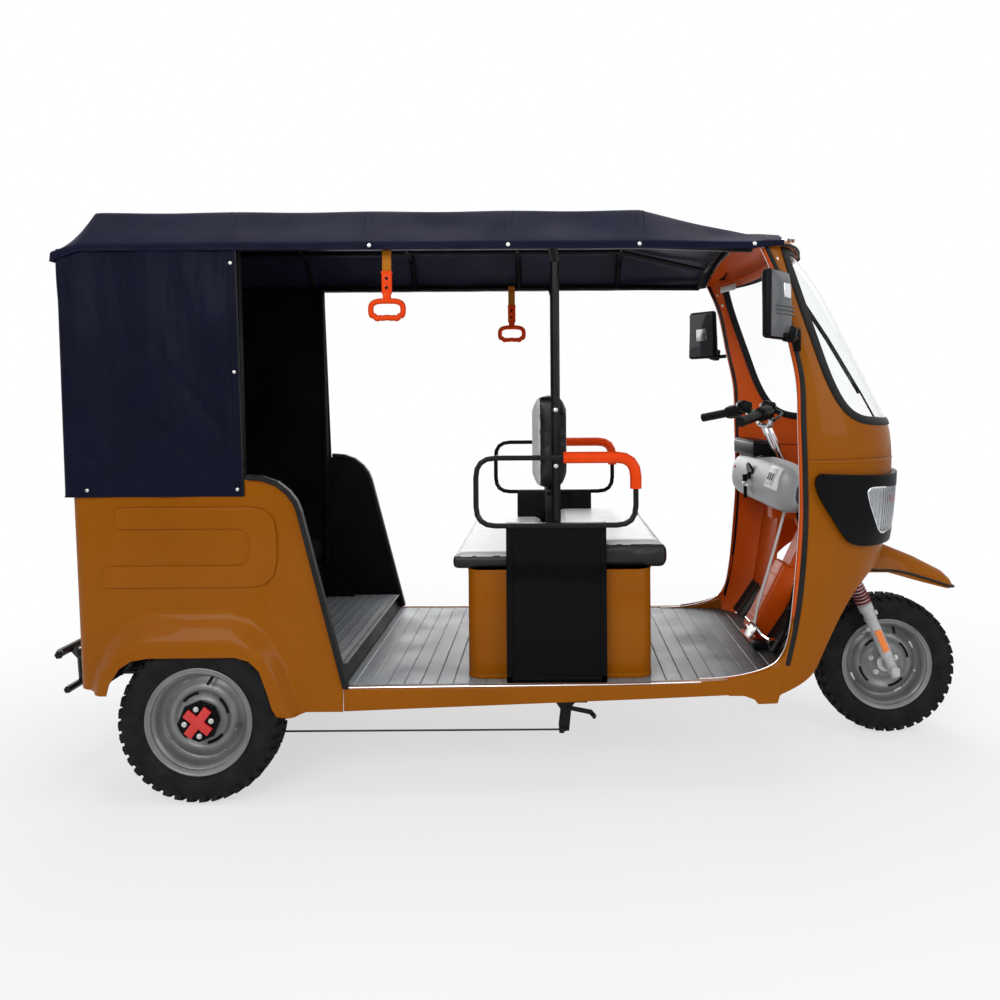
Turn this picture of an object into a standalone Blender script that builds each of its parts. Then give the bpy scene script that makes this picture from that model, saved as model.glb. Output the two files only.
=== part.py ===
"""Three-wheeled electric rickshaw with a fabric roof, metres, +Z up, +X forward, +Y to its left.

The origin is on the ground, midway along and across the vehicle.
"""
import math

import bmesh
import bpy
from mathutils import Matrix, Vector

for old in list(bpy.data.objects):
    bpy.data.objects.remove(old, do_unlink=True)

SEAT_GAP = 0.0003        # between pieces that touch
STEEL = 0.003            # thickness of the pressed body panels
HALF_WIDTH_REAR = 0.505  # outer face of the body at the rear

# Wheels
TYRE_RADIUS = 0.256
TYRE_WIDTH = 0.105
RIM_RADIUS = 0.168       # outer edge of the rim flange
AXLE_X_FRONT = 1.334
AXLE_X_REAR = -1.016
WHEEL_Y = HALF_WIDTH_REAR - 0.0075   # middle plane of a rear wheel
LUG_COUNT = 24
LUG_HEIGHT = 0.007
HUB_BORE = 0.0125
HUB_COVER_RADIUS = 0.064
RUNNING_GAP = 0.0008     # between a stub axle and its bore

# Steering
RAKE = math.radians(23.3)
AXIS_X_AT_AXLE = 1.285   # where the steering axis crosses the height of the front axle
LEG_Y = 0.096
LEG_RADIUS = 0.021
HEAD_LOW = 0.640
HEAD_HIGH = 0.860
HEAD_RADIUS = 0.030
STEM_RADIUS = 0.016
GRIP_RADIUS = 0.0175
BAR_RADIUS = 0.011

# Floor and sills
FLOOR_TOP = 0.338
FLOOR_SHEET = 0.004
SILL_TOP = 0.342
SILL_LOW_REAR = 0.270
SILL_LOW_FRONT = 0.301
SILL_WIDTH = 0.030
HALF_WIDTH_FRONT = 0.458 # outer face of the body at the cowl
FLOOR_REAR_X = -0.545
FLOOR_FRONT_X = 0.800
MAT_THICK = 0.006
MAT_PITCH = 0.0527
MAT_HALF_WIDTH = 0.424
RAIL_Y = 0.260
RAIL_WIDTH = 0.040
RAIL_HEIGHT = 0.050
UNDERFRAME_REAR_Z = 0.395

# Rear body
BODY_REAR_X = -1.444
BODY_LOW = 0.345
BODY_TOP = 0.998
CORNER_RADIUS = 0.050
FLARE_OUT = 0.058        # how far the flare stands out over the wheel
LIP = 0.014
TRIM_WIDTH = 0.028
TRIM_THICK = 0.016
HOUSING_RADIUS = 0.296
HOUSING_WALL_Y = HALF_WIDTH_REAR - 0.081
STEP_TOP = 0.405
BENCH_TOP = 0.560
BENCH_FRONT_X = -0.900

# Roof
ROOF_LOW = 1.730         # lower edge of the side valance
ROOF_HALF = HALF_WIDTH_REAR
CLOTH = 0.004
BOW_RADIUS = 0.011
RAIL_Z = 1.742
POST_RADIUS = 0.0145

# Middle seat
SEAT_X0 = -0.191
SEAT_X1 = 0.414
SEAT_TOP = 0.699
SEAT_HALF = 0.430
PANEL_X0 = -0.060
PANEL_X1 = 0.262
PANEL_TOP = 0.858
PANEL_THICK = 0.009
ARM_Y = SEAT_HALF + 0.049
ARM_RADIUS = 0.0095
COVER_RADIUS = 0.0185
ARM_X0 = -0.154
ARM_X1 = 0.356
ARM_LOW = 0.850
ARM_HIGH = 1.066
POST_X = 0.102
POST_Y = SEAT_HALF + 0.0155

STAY_X0 = 0.060
STAY_X1 = 0.090
BACKREST_LOW = 0.926

# Front cowl
COWL_SEAM_Z = 1.052
SEAM_GAP = 0.0006
LAMP_OUT = 0.018         # how far the lamp housing stands out of the cowl
LENS_OUT = 0.016

parts = bpy.data.collections.new("electric_rickshaw")
guides = bpy.data.collections.new("cutters")
bpy.context.scene.collection.children.link(parts)
bpy.context.scene.collection.children.link(guides)


# Materials
def make_material(name, colour, roughness, metallic=0.0):
    material = bpy.data.materials.new(name)
    material.use_nodes = True
    shader = material.node_tree.nodes["Principled BSDF"]
    shader.inputs["Base Color"].default_value = (*colour, 1.0)
    shader.inputs["Roughness"].default_value = roughness
    shader.inputs["Metallic"].default_value = metallic
    return material


OCHRE = ("ochre_paint", (0.56, 0.21, 0.008), 0.28, 0.0)
BLACK_PAINT = ("black_paint", (0.012, 0.012, 0.014), 0.3, 0.0)
BLACK_PLASTIC = ("black_plastic", (0.02, 0.02, 0.022), 0.45, 0.0)
RUBBER = ("rubber", (0.022, 0.022, 0.022), 0.8, 0.0)
CLOTH_NAVY = ("navy_cloth", (0.018, 0.019, 0.05), 0.55, 0.0)
VINYL = ("black_vinyl", (0.016, 0.016, 0.018), 0.4, 0.0)
SILVER = ("silver_paint", (0.45, 0.46, 0.47), 0.35, 0.3)
CHROME = ("chrome", (0.75, 0.75, 0.77), 0.12, 1.0)
ORANGE = ("orange_plastic", (0.75, 0.12, 0.02), 0.4, 0.0)
CLEAR = ("clear_glass", (0.85, 0.88, 0.9), 0.05, 0.0)
RED = ("red_plastic", (0.6, 0.03, 0.02), 0.35, 0.0)


def finish(obj, name, look, smooth_angle=None):
    """Name an object, give it its own material and put it with the parts."""
    obj.name = name
    obj.data.name = name
    obj.data.materials.clear()
    obj.data.materials.append(make_material(look[0] + "_" + name, *look[1:]))
    for holder in list(obj.users_collection):
        holder.objects.unlink(obj)
    parts.objects.link(obj)
    if smooth_angle is not None and obj.type == "MESH":
        obj.data.shade_smooth()
        obj.data.set_sharp_from_angle(angle=math.radians(smooth_angle))
    return obj


def as_guide(obj):
    """Keep a cutter or a joined shape out of the render."""
    for holder in list(obj.users_collection):
        holder.objects.unlink(obj)
    guides.objects.link(obj)
    obj.hide_render = True
    obj.display_type = "WIRE"
    return obj


# Shapes
def mesh_object(name, mesh):
    obj = bpy.data.objects.new(name, mesh)
    bpy.context.scene.collection.objects.link(obj)
    return obj


def box(x0, x1, y0, y1, z0, z1, bevel=0.0, segments=2):
    """Block between two corners, with rounded edges if a bevel is given."""
    mesh = bpy.data.meshes.new("block")
    bm = bmesh.new()
    bmesh.ops.create_cube(bm, size=1.0)
    bmesh.ops.scale(bm, vec=(x1 - x0, y1 - y0, z1 - z0), verts=bm.verts)
    bmesh.ops.translate(bm, vec=((x0 + x1) / 2, (y0 + y1) / 2, (z0 + z1) / 2), verts=bm.verts)
    bm.to_mesh(mesh)
    bm.free()
    obj = mesh_object("block", mesh)
    if bevel:
        soften(obj, bevel, segments)
    return obj


def soften(obj, width, segments=2, angle=30.0):
    modifier = obj.modifiers.new("Bevel", "BEVEL")
    modifier.width = width
    modifier.segments = segments
    modifier.limit_method = "ANGLE"
    modifier.angle_limit = math.radians(angle)
    return obj


def rod(start, end, radius, sides=12, radius_end=None):
    """Solid cylinder or cone between two points."""
    start = Vector(start)
    end = Vector(end)
    axis = end - start
    mesh = bpy.data.meshes.new("rod")
    bm = bmesh.new()
    bmesh.ops.create_cone(bm, cap_ends=True, segments=sides, radius1=radius,
                          radius2=radius if radius_end is None else radius_end, depth=axis.length)
    turn = axis.to_track_quat("Z", "Y").to_matrix().to_4x4()
    bmesh.ops.transform(bm, matrix=Matrix.Translation((start + end) / 2) @ turn, verts=bm.verts)
    bm.to_mesh(mesh)
    bm.free()
    return mesh_object("rod", mesh)


def tube_path(points, radius, sides=8, cyclic=False, flat=1.0):
    """Tube along points, as a closed mesh; flat squeezes its section sideways."""
    curve = bpy.data.curves.new("tube", "CURVE")
    curve.dimensions = "3D"
    curve.bevel_depth = radius
    curve.bevel_resolution = max(0, (sides - 4) // 2)
    curve.use_fill_caps = not cyclic
    spline = curve.splines.new("POLY")
    spline.points.add(len(points) - 1)
    for knot, place in zip(spline.points, points):
        knot.co = (*place, 1.0)
    spline.use_cyclic_u = cyclic
    return curve_to_mesh(curve)


def curve_to_mesh(curve):
    holder = bpy.data.objects.new("curve", curve)
    bpy.context.scene.collection.objects.link(holder)
    bpy.context.view_layer.update()
    evaluated = holder.evaluated_get(bpy.context.evaluated_depsgraph_get())
    mesh = bpy.data.meshes.new_from_object(evaluated)
    bm = bmesh.new()
    bm.from_mesh(mesh)
    bmesh.ops.remove_doubles(bm, verts=bm.verts, dist=0.00001)
    bmesh.ops.recalc_face_normals(bm, faces=bm.faces)
    bm.to_mesh(mesh)
    bm.free()
    obj = mesh_object("tube", mesh)
    obj.matrix_world = holder.matrix_world
    bpy.data.objects.remove(holder, do_unlink=True)
    return obj


def round_path(corners, radius, steps=4, cyclic=False):
    """Points along straight runs whose corners are rounded by one radius."""
    corners = [Vector(corner) for corner in corners]
    out = []
    count = len(corners)
    for index, corner in enumerate(corners):
        if not cyclic and index in (0, count - 1):
            out.append(corner)
            continue
        before = corners[index - 1] - corner
        after = corners[(index + 1) % count] - corner
        angle = before.angle(after)
        reach = min(radius / math.tan(angle / 2), before.length * 0.49, after.length * 0.49)
        first = corner + before.normalized() * reach
        last = corner + after.normalized() * reach
        for step in range(steps + 1):
            t = step / steps
            out.append((1 - t) ** 2 * first + 2 * t * (1 - t) * corner + t * t * last)
    return out


def plate(outline, low, high, plane="XZ"):
    """Flat outline given in a plane, filled and extruded from low to high across it."""
    curve = bpy.data.curves.new("outline", "CURVE")
    curve.dimensions = "2D"
    curve.fill_mode = "BOTH"
    curve.extrude = (high - low) / 2
    spline = curve.splines.new("POLY")
    spline.points.add(len(outline) - 1)
    for knot, place in zip(spline.points, outline):
        knot.co = (place[0], place[1], 0.0, 1.0)
    spline.use_cyclic_u = True
    obj = curve_to_mesh(curve)
    middle = (low + high) / 2
    if plane == "XZ":
        place = Matrix(((1, 0, 0, 0), (0, 0, -1, middle), (0, 1, 0, 0), (0, 0, 0, 1)))
    elif plane == "YZ":
        place = Matrix(((0, 0, 1, middle), (1, 0, 0, 0), (0, 1, 0, 0), (0, 0, 0, 1)))
    else:
        place = Matrix.Translation((0, 0, middle))
    obj.data.transform(place)
    return obj


def skin(rings, closed=False, caps=False):
    """Faces between rows of points; closed joins each row into a ring, caps fills the ends."""
    mesh = bpy.data.meshes.new("skin")
    bm = bmesh.new()
    rows = []
    for ring in rings:
        rows.append([bm.verts.new(place) for place in ring])
    width = len(rows[0])
    for low, high in zip(rows, rows[1:]):
        for index in range(width if closed else width - 1):
            after = (index + 1) % width
            bm.faces.new((low[index], low[after], high[after], high[index]))
    if caps:
        bm.faces.new(list(reversed(rows[0])))
        bm.faces.new(rows[-1])
        bmesh.ops.recalc_face_normals(bm, faces=bm.faces)
    bm.to_mesh(mesh)
    bm.free()
    return mesh_object("skin", mesh)


def mirrored(obj, dist=0.0001):
    modifier = obj.modifiers.new("Mirror", "MIRROR")
    modifier.use_axis = (False, True, False)
    modifier.merge_threshold = dist
    return obj


def thicken(obj, thickness, offset=-1.0):
    modifier = obj.modifiers.new("Solidify", "SOLIDIFY")
    modifier.thickness = thickness
    modifier.offset = offset
    modifier.use_even_offset = True
    return obj


def turned(profile, sides, axis_start, axis="Y", closed=True):
    """Profile of (radius, along) points turned about an axis; an open one ends on the axis."""
    mesh = bpy.data.meshes.new("profile")
    bm = bmesh.new()
    verts = [bm.verts.new((radius, 0.0, along)) for radius, along in profile]
    for first, second in zip(verts, verts[1:] + (verts[:1] if closed else [])):
        bm.edges.new((first, second))
    bm.to_mesh(mesh)
    bm.free()
    obj = mesh_object("turned", mesh)
    modifier = obj.modifiers.new("Screw", "SCREW")
    modifier.steps = sides
    modifier.render_steps = sides
    modifier.use_merge_vertices = True
    modifier.merge_threshold = 0.00001
    modifier.use_normal_calculate = True
    obj = applied(obj)
    turn = {"Y": Matrix.Rotation(math.radians(-90), 4, "X"), "Z": Matrix.Identity(4),
            "X": Matrix.Rotation(math.radians(90), 4, "Y")}[axis]
    obj.data.transform(Matrix.Translation(axis_start) @ turn)
    return obj


def applied(obj):
    """Mesh of an object with its modifiers applied, as a new plain object."""
    bpy.context.view_layer.update()
    evaluated = obj.evaluated_get(bpy.context.evaluated_depsgraph_get())
    mesh = bpy.data.meshes.new_from_object(evaluated)
    mesh.transform(obj.matrix_world)
    bm = bmesh.new()
    bm.from_mesh(mesh)
    bmesh.ops.recalc_face_normals(bm, faces=bm.faces)
    bm.to_mesh(mesh)
    bm.free()
    fresh = mesh_object(obj.name, mesh)
    bpy.data.objects.remove(obj, do_unlink=True)
    return fresh


def combine(base, operation, *others):
    """Boolean of a base with other shapes, which become guides."""
    for other in others:
        modifier = base.modifiers.new("Boolean", "BOOLEAN")
        modifier.operation = operation
        modifier.object = as_guide(other)
    return base


def flip_y(points):
    return [(x, -y, z) for x, y, z in points]


def smooth_row(knots, count):
    """Points at even steps along a smooth line through the knots."""
    knots = [Vector(knot) for knot in knots]
    ends = [2 * knots[0] - knots[1]] + knots + [2 * knots[-1] - knots[-2]]
    spans = len(knots) - 1
    out = []
    for step in range(count):
        place = spans * step / (count - 1)
        index = min(int(place), spans - 1)
        t = place - index
        a, b, c, d = ends[index:index + 4]
        out.append(0.5 * (2 * b + (c - a) * t + (2 * a - 5 * b + 4 * c - d) * t * t
                          + (3 * b - a - 3 * c + d) * t ** 3))
    return out


def between(value, table):
    """Linear reading of a table of (key, value) rows."""
    if value <= table[0][0]:
        return table[0][1]
    for (k0, v0), (k1, v1) in zip(table, table[1:]):
        if value <= k1:
            return v0 + (v1 - v0) * (value - k0) / (k1 - k0)
    return table[-1][1]


# Wheels
def tyre(name, x, y):
    """Tyre whose shoulder lugs stand out at every second section round it."""
    half = TYRE_WIDTH / 2
    # columns: radius, distance from the middle plane, how much a groove lowers it
    flank = [(RIM_RADIUS - 0.0145, 0.0414, 0.0), (RIM_RADIUS + 0.001, 0.0414, 0.0),
             (RIM_RADIUS + 0.030, half, 0.0), (TYRE_RADIUS - 0.018, half - 0.002, 0.6),
             (TYRE_RADIUS - 0.001, half - 0.015, 1.0)]
    section = flank + [(TYRE_RADIUS, 0.0, 0.0)] + [(radius, -side, drop) for radius, side, drop in reversed(flank)]
    rings = []
    count = 2 * LUG_COUNT
    for step in range(count):
        angle = 2 * math.pi * (step + 0.5) / count
        drop_here = LUG_HEIGHT if step % 2 else 0.0
        ring = []
        for radius, side, drop in section:
            reach = (radius - drop * drop_here) / math.cos(math.pi / count)
            ring.append((x + reach * math.cos(angle), y + side, TYRE_RADIUS + reach * math.sin(angle)))
        rings.append(ring)
    rings.append(rings[0])
    obj = skin(rings, closed=True)
    bm = bmesh.new()
    bm.from_mesh(obj.data)
    bmesh.ops.remove_doubles(bm, verts=bm.verts, dist=0.00001)
    bmesh.ops.recalc_face_normals(bm, faces=bm.faces)
    bm.to_mesh(obj.data)
    bm.free()
    return finish(obj, name, RUBBER, 40)


def rim(name, x, y, outward):
    """Pressed steel rim: two flanges, a barrel and a waved disc with its hub."""
    wall = 0.005
    seat = RIM_RADIUS - 0.015
    side = 0.0418
    # columns: radius, distance outward from the middle plane
    profile = [(RIM_RADIUS, side + 0.005), (RIM_RADIUS, side), (seat, side), (seat, -side),
               (RIM_RADIUS, -side), (RIM_RADIUS, -side - 0.004), (seat - wall, -side - 0.004),
               (seat - wall, -0.004), (0.118, 0.012), (0.098, 0.006), (0.076, 0.012),
               (0.032, 0.012), (0.032, -0.020), (HUB_BORE, -0.020), (HUB_BORE, 0.030), (0.032, 0.030),
               (0.032, 0.016), (0.076, 0.016), (0.098, 0.010), (0.118, 0.016),
               (seat - wall, 0.001), (seat - wall, side)]
    obj = turned([(radius, outward * along) for radius, along in profile], 16, (x, y, TYRE_RADIUS))
    return finish(obj, name, SILVER, 35)


def hub_cover(name, x, y, outward):
    """Eight-sided cover with a raised cross and four nuts."""
    seat = y + outward * (0.030 + SEAT_GAP)
    cover = rod((x, seat, TYRE_RADIUS), (x, seat + outward * 0.012, TYRE_RADIUS), HUB_COVER_RADIUS, 8)
    face = seat + outward * 0.011
    for angle in (45, 135):
        bar = box(-0.036, 0.036, -0.007, 0.007, -0.009, 0.009)
        bar.data.transform(Matrix.Rotation(math.radians(angle + 20), 4, "Y"))
        bar.data.transform(Matrix.Translation((x, face, TYRE_RADIUS)))
        combine(cover, "UNION", bar)
    for index in range(4):
        angle = math.radians(90 * index + 20)
        centre = Vector((x + 0.036 * math.cos(angle), face, TYRE_RADIUS + 0.036 * math.sin(angle)))
        nut = rod(centre, centre + Vector((0, outward * 0.007, 0)), 0.006, 6)
        combine(cover, "UNION", nut)
    return finish(cover, name, BLACK_PLASTIC)


def wheels():
    tyre("tyre_front", AXLE_X_FRONT, 0.0)
    rim("rim_front", AXLE_X_FRONT, 0.0, -1)
    for side, sign in (("left", 1), ("right", -1)):
        tyre("tyre_rear_" + side, AXLE_X_REAR, sign * WHEEL_Y)
        rim("rim_rear_" + side, AXLE_X_REAR, sign * WHEEL_Y, sign)
        hub_cover("hub_cover_" + side, AXLE_X_REAR, sign * WHEEL_Y, sign)


# Steering, in distances along the raked axis, forward of it and to the left
AXIS_FOOT = Vector((AXIS_X_AT_AXLE, 0.0, TYRE_RADIUS))
AXIS_UP = Vector((-math.sin(RAKE), 0.0, math.cos(RAKE)))
AXIS_FORE = Vector((math.cos(RAKE), 0.0, math.sin(RAKE)))


def steer_at(along, forward=0.0, side=0.0):
    return AXIS_FOOT + AXIS_UP * along + AXIS_FORE * forward + Vector((0.0, side, 0.0))


AXLE_AHEAD = AXLE_X_FRONT - AXIS_X_AT_AXLE
LEG_FORWARD = AXLE_AHEAD * math.cos(RAKE)
AXLE_ALONG = -AXLE_AHEAD * math.sin(RAKE)
LEG_TOP = 0.262
BOOT_TOP = 0.335
HEAD_ALONG_LOW = (HEAD_LOW - TYRE_RADIUS) / math.cos(RAKE)
HEAD_ALONG_HIGH = (HEAD_HIGH - TYRE_RADIUS) / math.cos(RAKE)
YOKE_THICK = 0.026
STEM_TOP = 0.745
BAR_ALONG = 0.972
# columns: place of a knot behind (-) the top of the risers, to the left and above it
BAR_BENDS = [(0.0014, 0.0, -0.0008), (-0.0016, 0.065, 0.0012), (-0.0106, 0.125, 0.0292), (-0.0346, 0.200, 0.0572)]
BAR_KNOTS = [tuple(steer_at(BAR_ALONG) + Vector(bend)) for bend in BAR_BENDS]
BAR_END = steer_at(BAR_ALONG) + Vector((-0.1736, 0.330, 0.0222))
POD_START = 0.10         # share of the last run where the switch pod starts
POD_END = 0.34


def turned_block(x_half, y_half, low, high, forward, name):
    """Block square to the steering axis, between two distances along it."""
    block = box(-x_half, x_half, -y_half, y_half, low, high, 0.006)
    block = applied(block)
    block.data.transform(Matrix.Rotation(-RAKE, 4, "Y"))
    block.data.transform(Matrix.Translation(AXIS_FOOT + AXIS_FORE * forward))
    return block


def fork():
    yoke_top = HEAD_ALONG_LOW - SEAT_GAP
    yoke_low = yoke_top - YOKE_THICK
    yoke_half = abs(LEG_FORWARD) / 2 + 0.0295
    yoke = turned_block(yoke_half, LEG_Y + 0.028, yoke_low, yoke_top, LEG_FORWARD / 2, "yoke")
    stem = rod(steer_at(yoke_low + 0.01), steer_at(STEM_TOP), STEM_RADIUS, 16)
    combine(yoke, "UNION", stem)
    for sign in (1, -1):
        slider = rod(steer_at(BOOT_TOP + SEAT_GAP, LEG_FORWARD, sign * LEG_Y),
                     steer_at(yoke_low + 0.012, LEG_FORWARD, sign * LEG_Y), 0.014, 12)
        combine(yoke, "UNION", slider)
    finish(yoke, "fork_yoke", BLACK_PAINT)

    legs = rod(steer_at(AXLE_ALONG, LEG_FORWARD, -LEG_Y - 0.030),
               steer_at(AXLE_ALONG, LEG_FORWARD, LEG_Y + 0.030), HUB_BORE - RUNNING_GAP, 12)
    for sign in (1, -1):
        leg = rod(steer_at(AXLE_ALONG - 0.028, LEG_FORWARD, sign * LEG_Y),
                  steer_at(LEG_TOP, LEG_FORWARD, sign * LEG_Y), LEG_RADIUS - 0.003, 12, LEG_RADIUS)
        collar = rod(steer_at(LEG_TOP - 0.018, LEG_FORWARD, sign * LEG_Y),
                     steer_at(LEG_TOP + 0.004, LEG_FORWARD, sign * LEG_Y), LEG_RADIUS + 0.005, 12)
        nut = rod(steer_at(AXLE_ALONG, LEG_FORWARD, sign * (LEG_Y + 0.012)),
                  steer_at(AXLE_ALONG, LEG_FORWARD, sign * (LEG_Y + 0.028)), 0.017, 6)
        combine(legs, "UNION", leg, collar, nut)
        hub = rod(steer_at(AXLE_ALONG, LEG_FORWARD, sign * 0.0315),
                  steer_at(AXLE_ALONG, LEG_FORWARD, sign * (LEG_Y - 0.012)), 0.019, 12)
        combine(legs, "UNION", hub)
    for sign in (1, -1):
        boot = rod(steer_at(LEG_TOP - 0.008, LEG_FORWARD, sign * LEG_Y), steer_at(BOOT_TOP, LEG_FORWARD, sign * LEG_Y),
                   0.0245, 10)
        combine(legs, "UNION", boot)
    finish(legs, "fork_legs", SILVER)


def handlebar():
    clamp = turned_block(0.030, 0.055, STEM_TOP + SEAT_GAP, STEM_TOP + 0.020, 0.0, "clamp")
    for sign in (1, -1):
        riser = rod(steer_at(STEM_TOP + 0.010, 0.0, sign * 0.036), steer_at(BAR_ALONG, 0.0, sign * 0.036), 0.010, 12)
        combine(clamp, "UNION", riser)
    end = Vector(BAR_END)
    last = Vector(BAR_KNOTS[-1])
    stop = last + (end - last) * POD_START
    knots = [(x, -y, z) for x, y, z in reversed(BAR_KNOTS[1:])] + BAR_KNOTS
    path = [Vector((stop.x, -stop.y, stop.z))] + smooth_row(knots, 13) + [stop]
    combine(clamp, "UNION", tube_path(path, BAR_RADIUS, 8))
    finish(clamp, "handlebar", CHROME)
    for side, sign in (("left", 1), ("right", -1)):
        run = end - last

        def at(share):
            place = last + run * share
            return Vector((place.x, sign * place.y, place.z))

        length = run.length
        grip = rod(at(POD_END - 0.02), at(1.0), GRIP_RADIUS, 12)
        pod = rod(at(POD_START + SEAT_GAP / length), at(POD_END), 0.027, 8)
        flange = rod(at(POD_END + 0.01), at(POD_END + 0.05), 0.024, 12)
        combine(grip, "UNION", pod, flange)
        finish(grip, "grip_" + side, RUBBER)


# columns: distance ahead of the fork legs, height of the crown along the axis, half width, depth of the sides
GUARD_ROWS = [(0.0362, 0.412, 0.070, 0.045), (0.075, 0.410, 0.074, 0.075), (0.170, 0.391, 0.078, 0.095),
              (0.262, 0.297, 0.078, 0.080), (0.334, 0.209, 0.068, 0.055), (0.349, 0.174, 0.052, 0.030)]


def front_mudguard():
    """Arched blade above the front tyre, fixed to the front of the yoke."""
    rings = []
    for forward, along, half, depth in GUARD_ROWS:
        ring = []
        for index in range(9):
            t = -1 + index / 4
            place = steer_at(along, LEG_FORWARD + forward, half * t)
            place.z -= depth * abs(t) ** 2.6
            ring.append(place)
        rings.append(ring)
    blade = thicken(skin(rings), STEEL, 0.0)
    return finish(blade, "front_mudguard", OCHRE, 40)


wheels()
fork()
handlebar()
front_mudguard()


# Underframe
RAIL_TOP = FLOOR_TOP - FLOOR_SHEET - SEAT_GAP
REAR_RAIL_TOP = STEP_TOP - 0.020
RAIL_FRONT_X = 0.840
RAIL_REAR_X = -1.400
AXLE_TUBE_RADIUS = 0.030
SPRING_WIDTH = 0.050
SPRING_HALF = 0.225
BEAM_FOOT_X = 0.872
BEAM_HALF = 0.036
DASH_LOW = 0.866


def chassis_frame():
    """Two cranked rails joined by cross tubes."""
    low = RAIL_TOP - RAIL_HEIGHT
    rear_low = REAR_RAIL_TOP - RAIL_HEIGHT
    outline = [(RAIL_REAR_X, rear_low), (-0.790, rear_low), (-0.670, low), (RAIL_FRONT_X, low),
               (RAIL_FRONT_X, RAIL_TOP), (-0.680, RAIL_TOP), (-0.800, REAR_RAIL_TOP), (RAIL_REAR_X, REAR_RAIL_TOP)]
    frame = None
    for sign in (1, -1):
        rail = plate(outline, sign * RAIL_Y - RAIL_WIDTH / 2, sign * RAIL_Y + RAIL_WIDTH / 2)
        if frame is None:
            frame = rail
        else:
            combine(frame, "UNION", rail)
    # columns: x, height of the tube's middle, half its length
    for x, z, half in ((RAIL_REAR_X + 0.030, REAR_RAIL_TOP - 0.025, 0.485), (-0.560, RAIL_TOP - 0.025, 0.440),
                       (0.020, RAIL_TOP - 0.025, 0.440), (0.560, RAIL_TOP - 0.025, 0.420),
                       (RAIL_FRONT_X - 0.030, RAIL_TOP - 0.025, 0.400)):
        combine(frame, "UNION", box(x - 0.018, x + 0.018, -half, half, z - 0.018, z + 0.018))
    return finish(frame, "chassis_frame", BLACK_PAINT)


def beam_outline():
    """Side view of the beam: rear foot, front foot, front top, rear top."""
    low_z = FLOOR_TOP + MAT_THICK + SEAT_GAP
    top = steer_at((HEAD_ALONG_LOW + HEAD_ALONG_HIGH) / 2)
    lean = math.atan2(top.x - BEAM_FOOT_X, top.z - low_z - 0.006)
    across = Vector((math.cos(lean), 0.0, -math.sin(lean))) * BEAM_HALF
    front = top + across
    rear = top - across
    return [(BEAM_FOOT_X - BEAM_HALF, low_z), (BEAM_FOOT_X + BEAM_HALF, low_z), (front.x, front.z), (rear.x, rear.z)]


def steering_head():
    """Box beam from the floor up to the head tube that the stem turns in."""
    head = plate(beam_outline(), -0.045, 0.045)
    soften(head, 0.006)
    sleeve = rod(steer_at(HEAD_ALONG_LOW), steer_at(HEAD_ALONG_HIGH), HEAD_RADIUS + 0.014, 16)
    bore = rod(steer_at(HEAD_ALONG_LOW - 0.05), steer_at(HEAD_ALONG_HIGH + 0.10), STEM_RADIUS + RUNNING_GAP, 16)
    saddle = box(0.915, 1.035, -0.030, 0.030, 0.800, 0.835)
    upright = box(0.915, 0.942, -0.030, 0.030, 0.825, DASH_LOW - SEAT_GAP)
    combine(head, "UNION", sleeve, saddle, upright)
    combine(head, "DIFFERENCE", bore)
    return finish(head, "steering_head", OCHRE)


def rear_axle():
    """Axle tube with brake drums, stub ends, and the motor with its gear case."""
    drum_end = WHEEL_Y - 0.0205 - SEAT_GAP
    axle = rod((AXLE_X_REAR, -drum_end, TYRE_RADIUS), (AXLE_X_REAR, drum_end, TYRE_RADIUS), AXLE_TUBE_RADIUS, 12)
    stub = rod((AXLE_X_REAR, -WHEEL_Y - 0.029, TYRE_RADIUS), (AXLE_X_REAR, WHEEL_Y + 0.029, TYRE_RADIUS),
               HUB_BORE - RUNNING_GAP, 12)
    case = turned([(0.0, -0.075), (0.060, -0.075), (0.105, -0.030), (0.105, 0.030), (0.060, 0.075), (0.0, 0.075)],
                  14, (AXLE_X_REAR, 0.030, TYRE_RADIUS + 0.020), closed=False)
    motor = rod((AXLE_X_REAR + 0.080, -0.030, TYRE_RADIUS + 0.018), (AXLE_X_REAR + 0.340, -0.030, TYRE_RADIUS + 0.018),
                0.056, 12)
    combine(axle, "UNION", stub, case, motor)
    for sign in (1, -1):
        drum = rod((AXLE_X_REAR, sign * 0.405, TYRE_RADIUS), (AXLE_X_REAR, sign * (drum_end - 0.001), TYRE_RADIUS),
                   0.082, 14)
        combine(axle, "UNION", drum)
    for spring in leaf_springs():
        combine(axle, "UNION", spring)
    return finish(axle, "rear_axle", BLACK_PAINT)


def leaf_springs():
    """Flat bows clamped on the axle tube, one under each rail."""
    low = TYRE_RADIUS + AXLE_TUBE_RADIUS - 0.004
    high = REAR_RAIL_TOP - RAIL_HEIGHT - SEAT_GAP
    springs = []
    for sign in (1, -1):
        bow = [(-SPRING_HALF, high), (-SPRING_HALF, high - 0.020), (-0.11, low + 0.006), (-0.035, low),
               (0.035, low), (0.11, low + 0.006), (SPRING_HALF, high - 0.020), (SPRING_HALF, high),
               (SPRING_HALF - 0.040, high), (0.0, low + 0.028), (-SPRING_HALF + 0.040, high)]
        outline = [(AXLE_X_REAR + x, z) for x, z in bow]
        middle = sign * RAIL_Y
        springs.append(plate(outline, middle - SPRING_WIDTH / 2, middle + SPRING_WIDTH / 2))
    return springs


# Floor
# columns: x, outer face, lower edge, upper edge
SILL_ROWS = [(-0.5745, HALF_WIDTH_REAR, SILL_LOW_REAR, SILL_TOP), (0.400, 0.4890, 0.2970, SILL_TOP),
             (0.690, 0.4695, SILL_LOW_FRONT, 0.3500), (0.8160, HALF_WIDTH_FRONT, 0.2960, 0.3900)]


def sill_inner(x):
    return between(x, [(row[0], row[1] - SILL_WIDTH) for row in SILL_ROWS])


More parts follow.
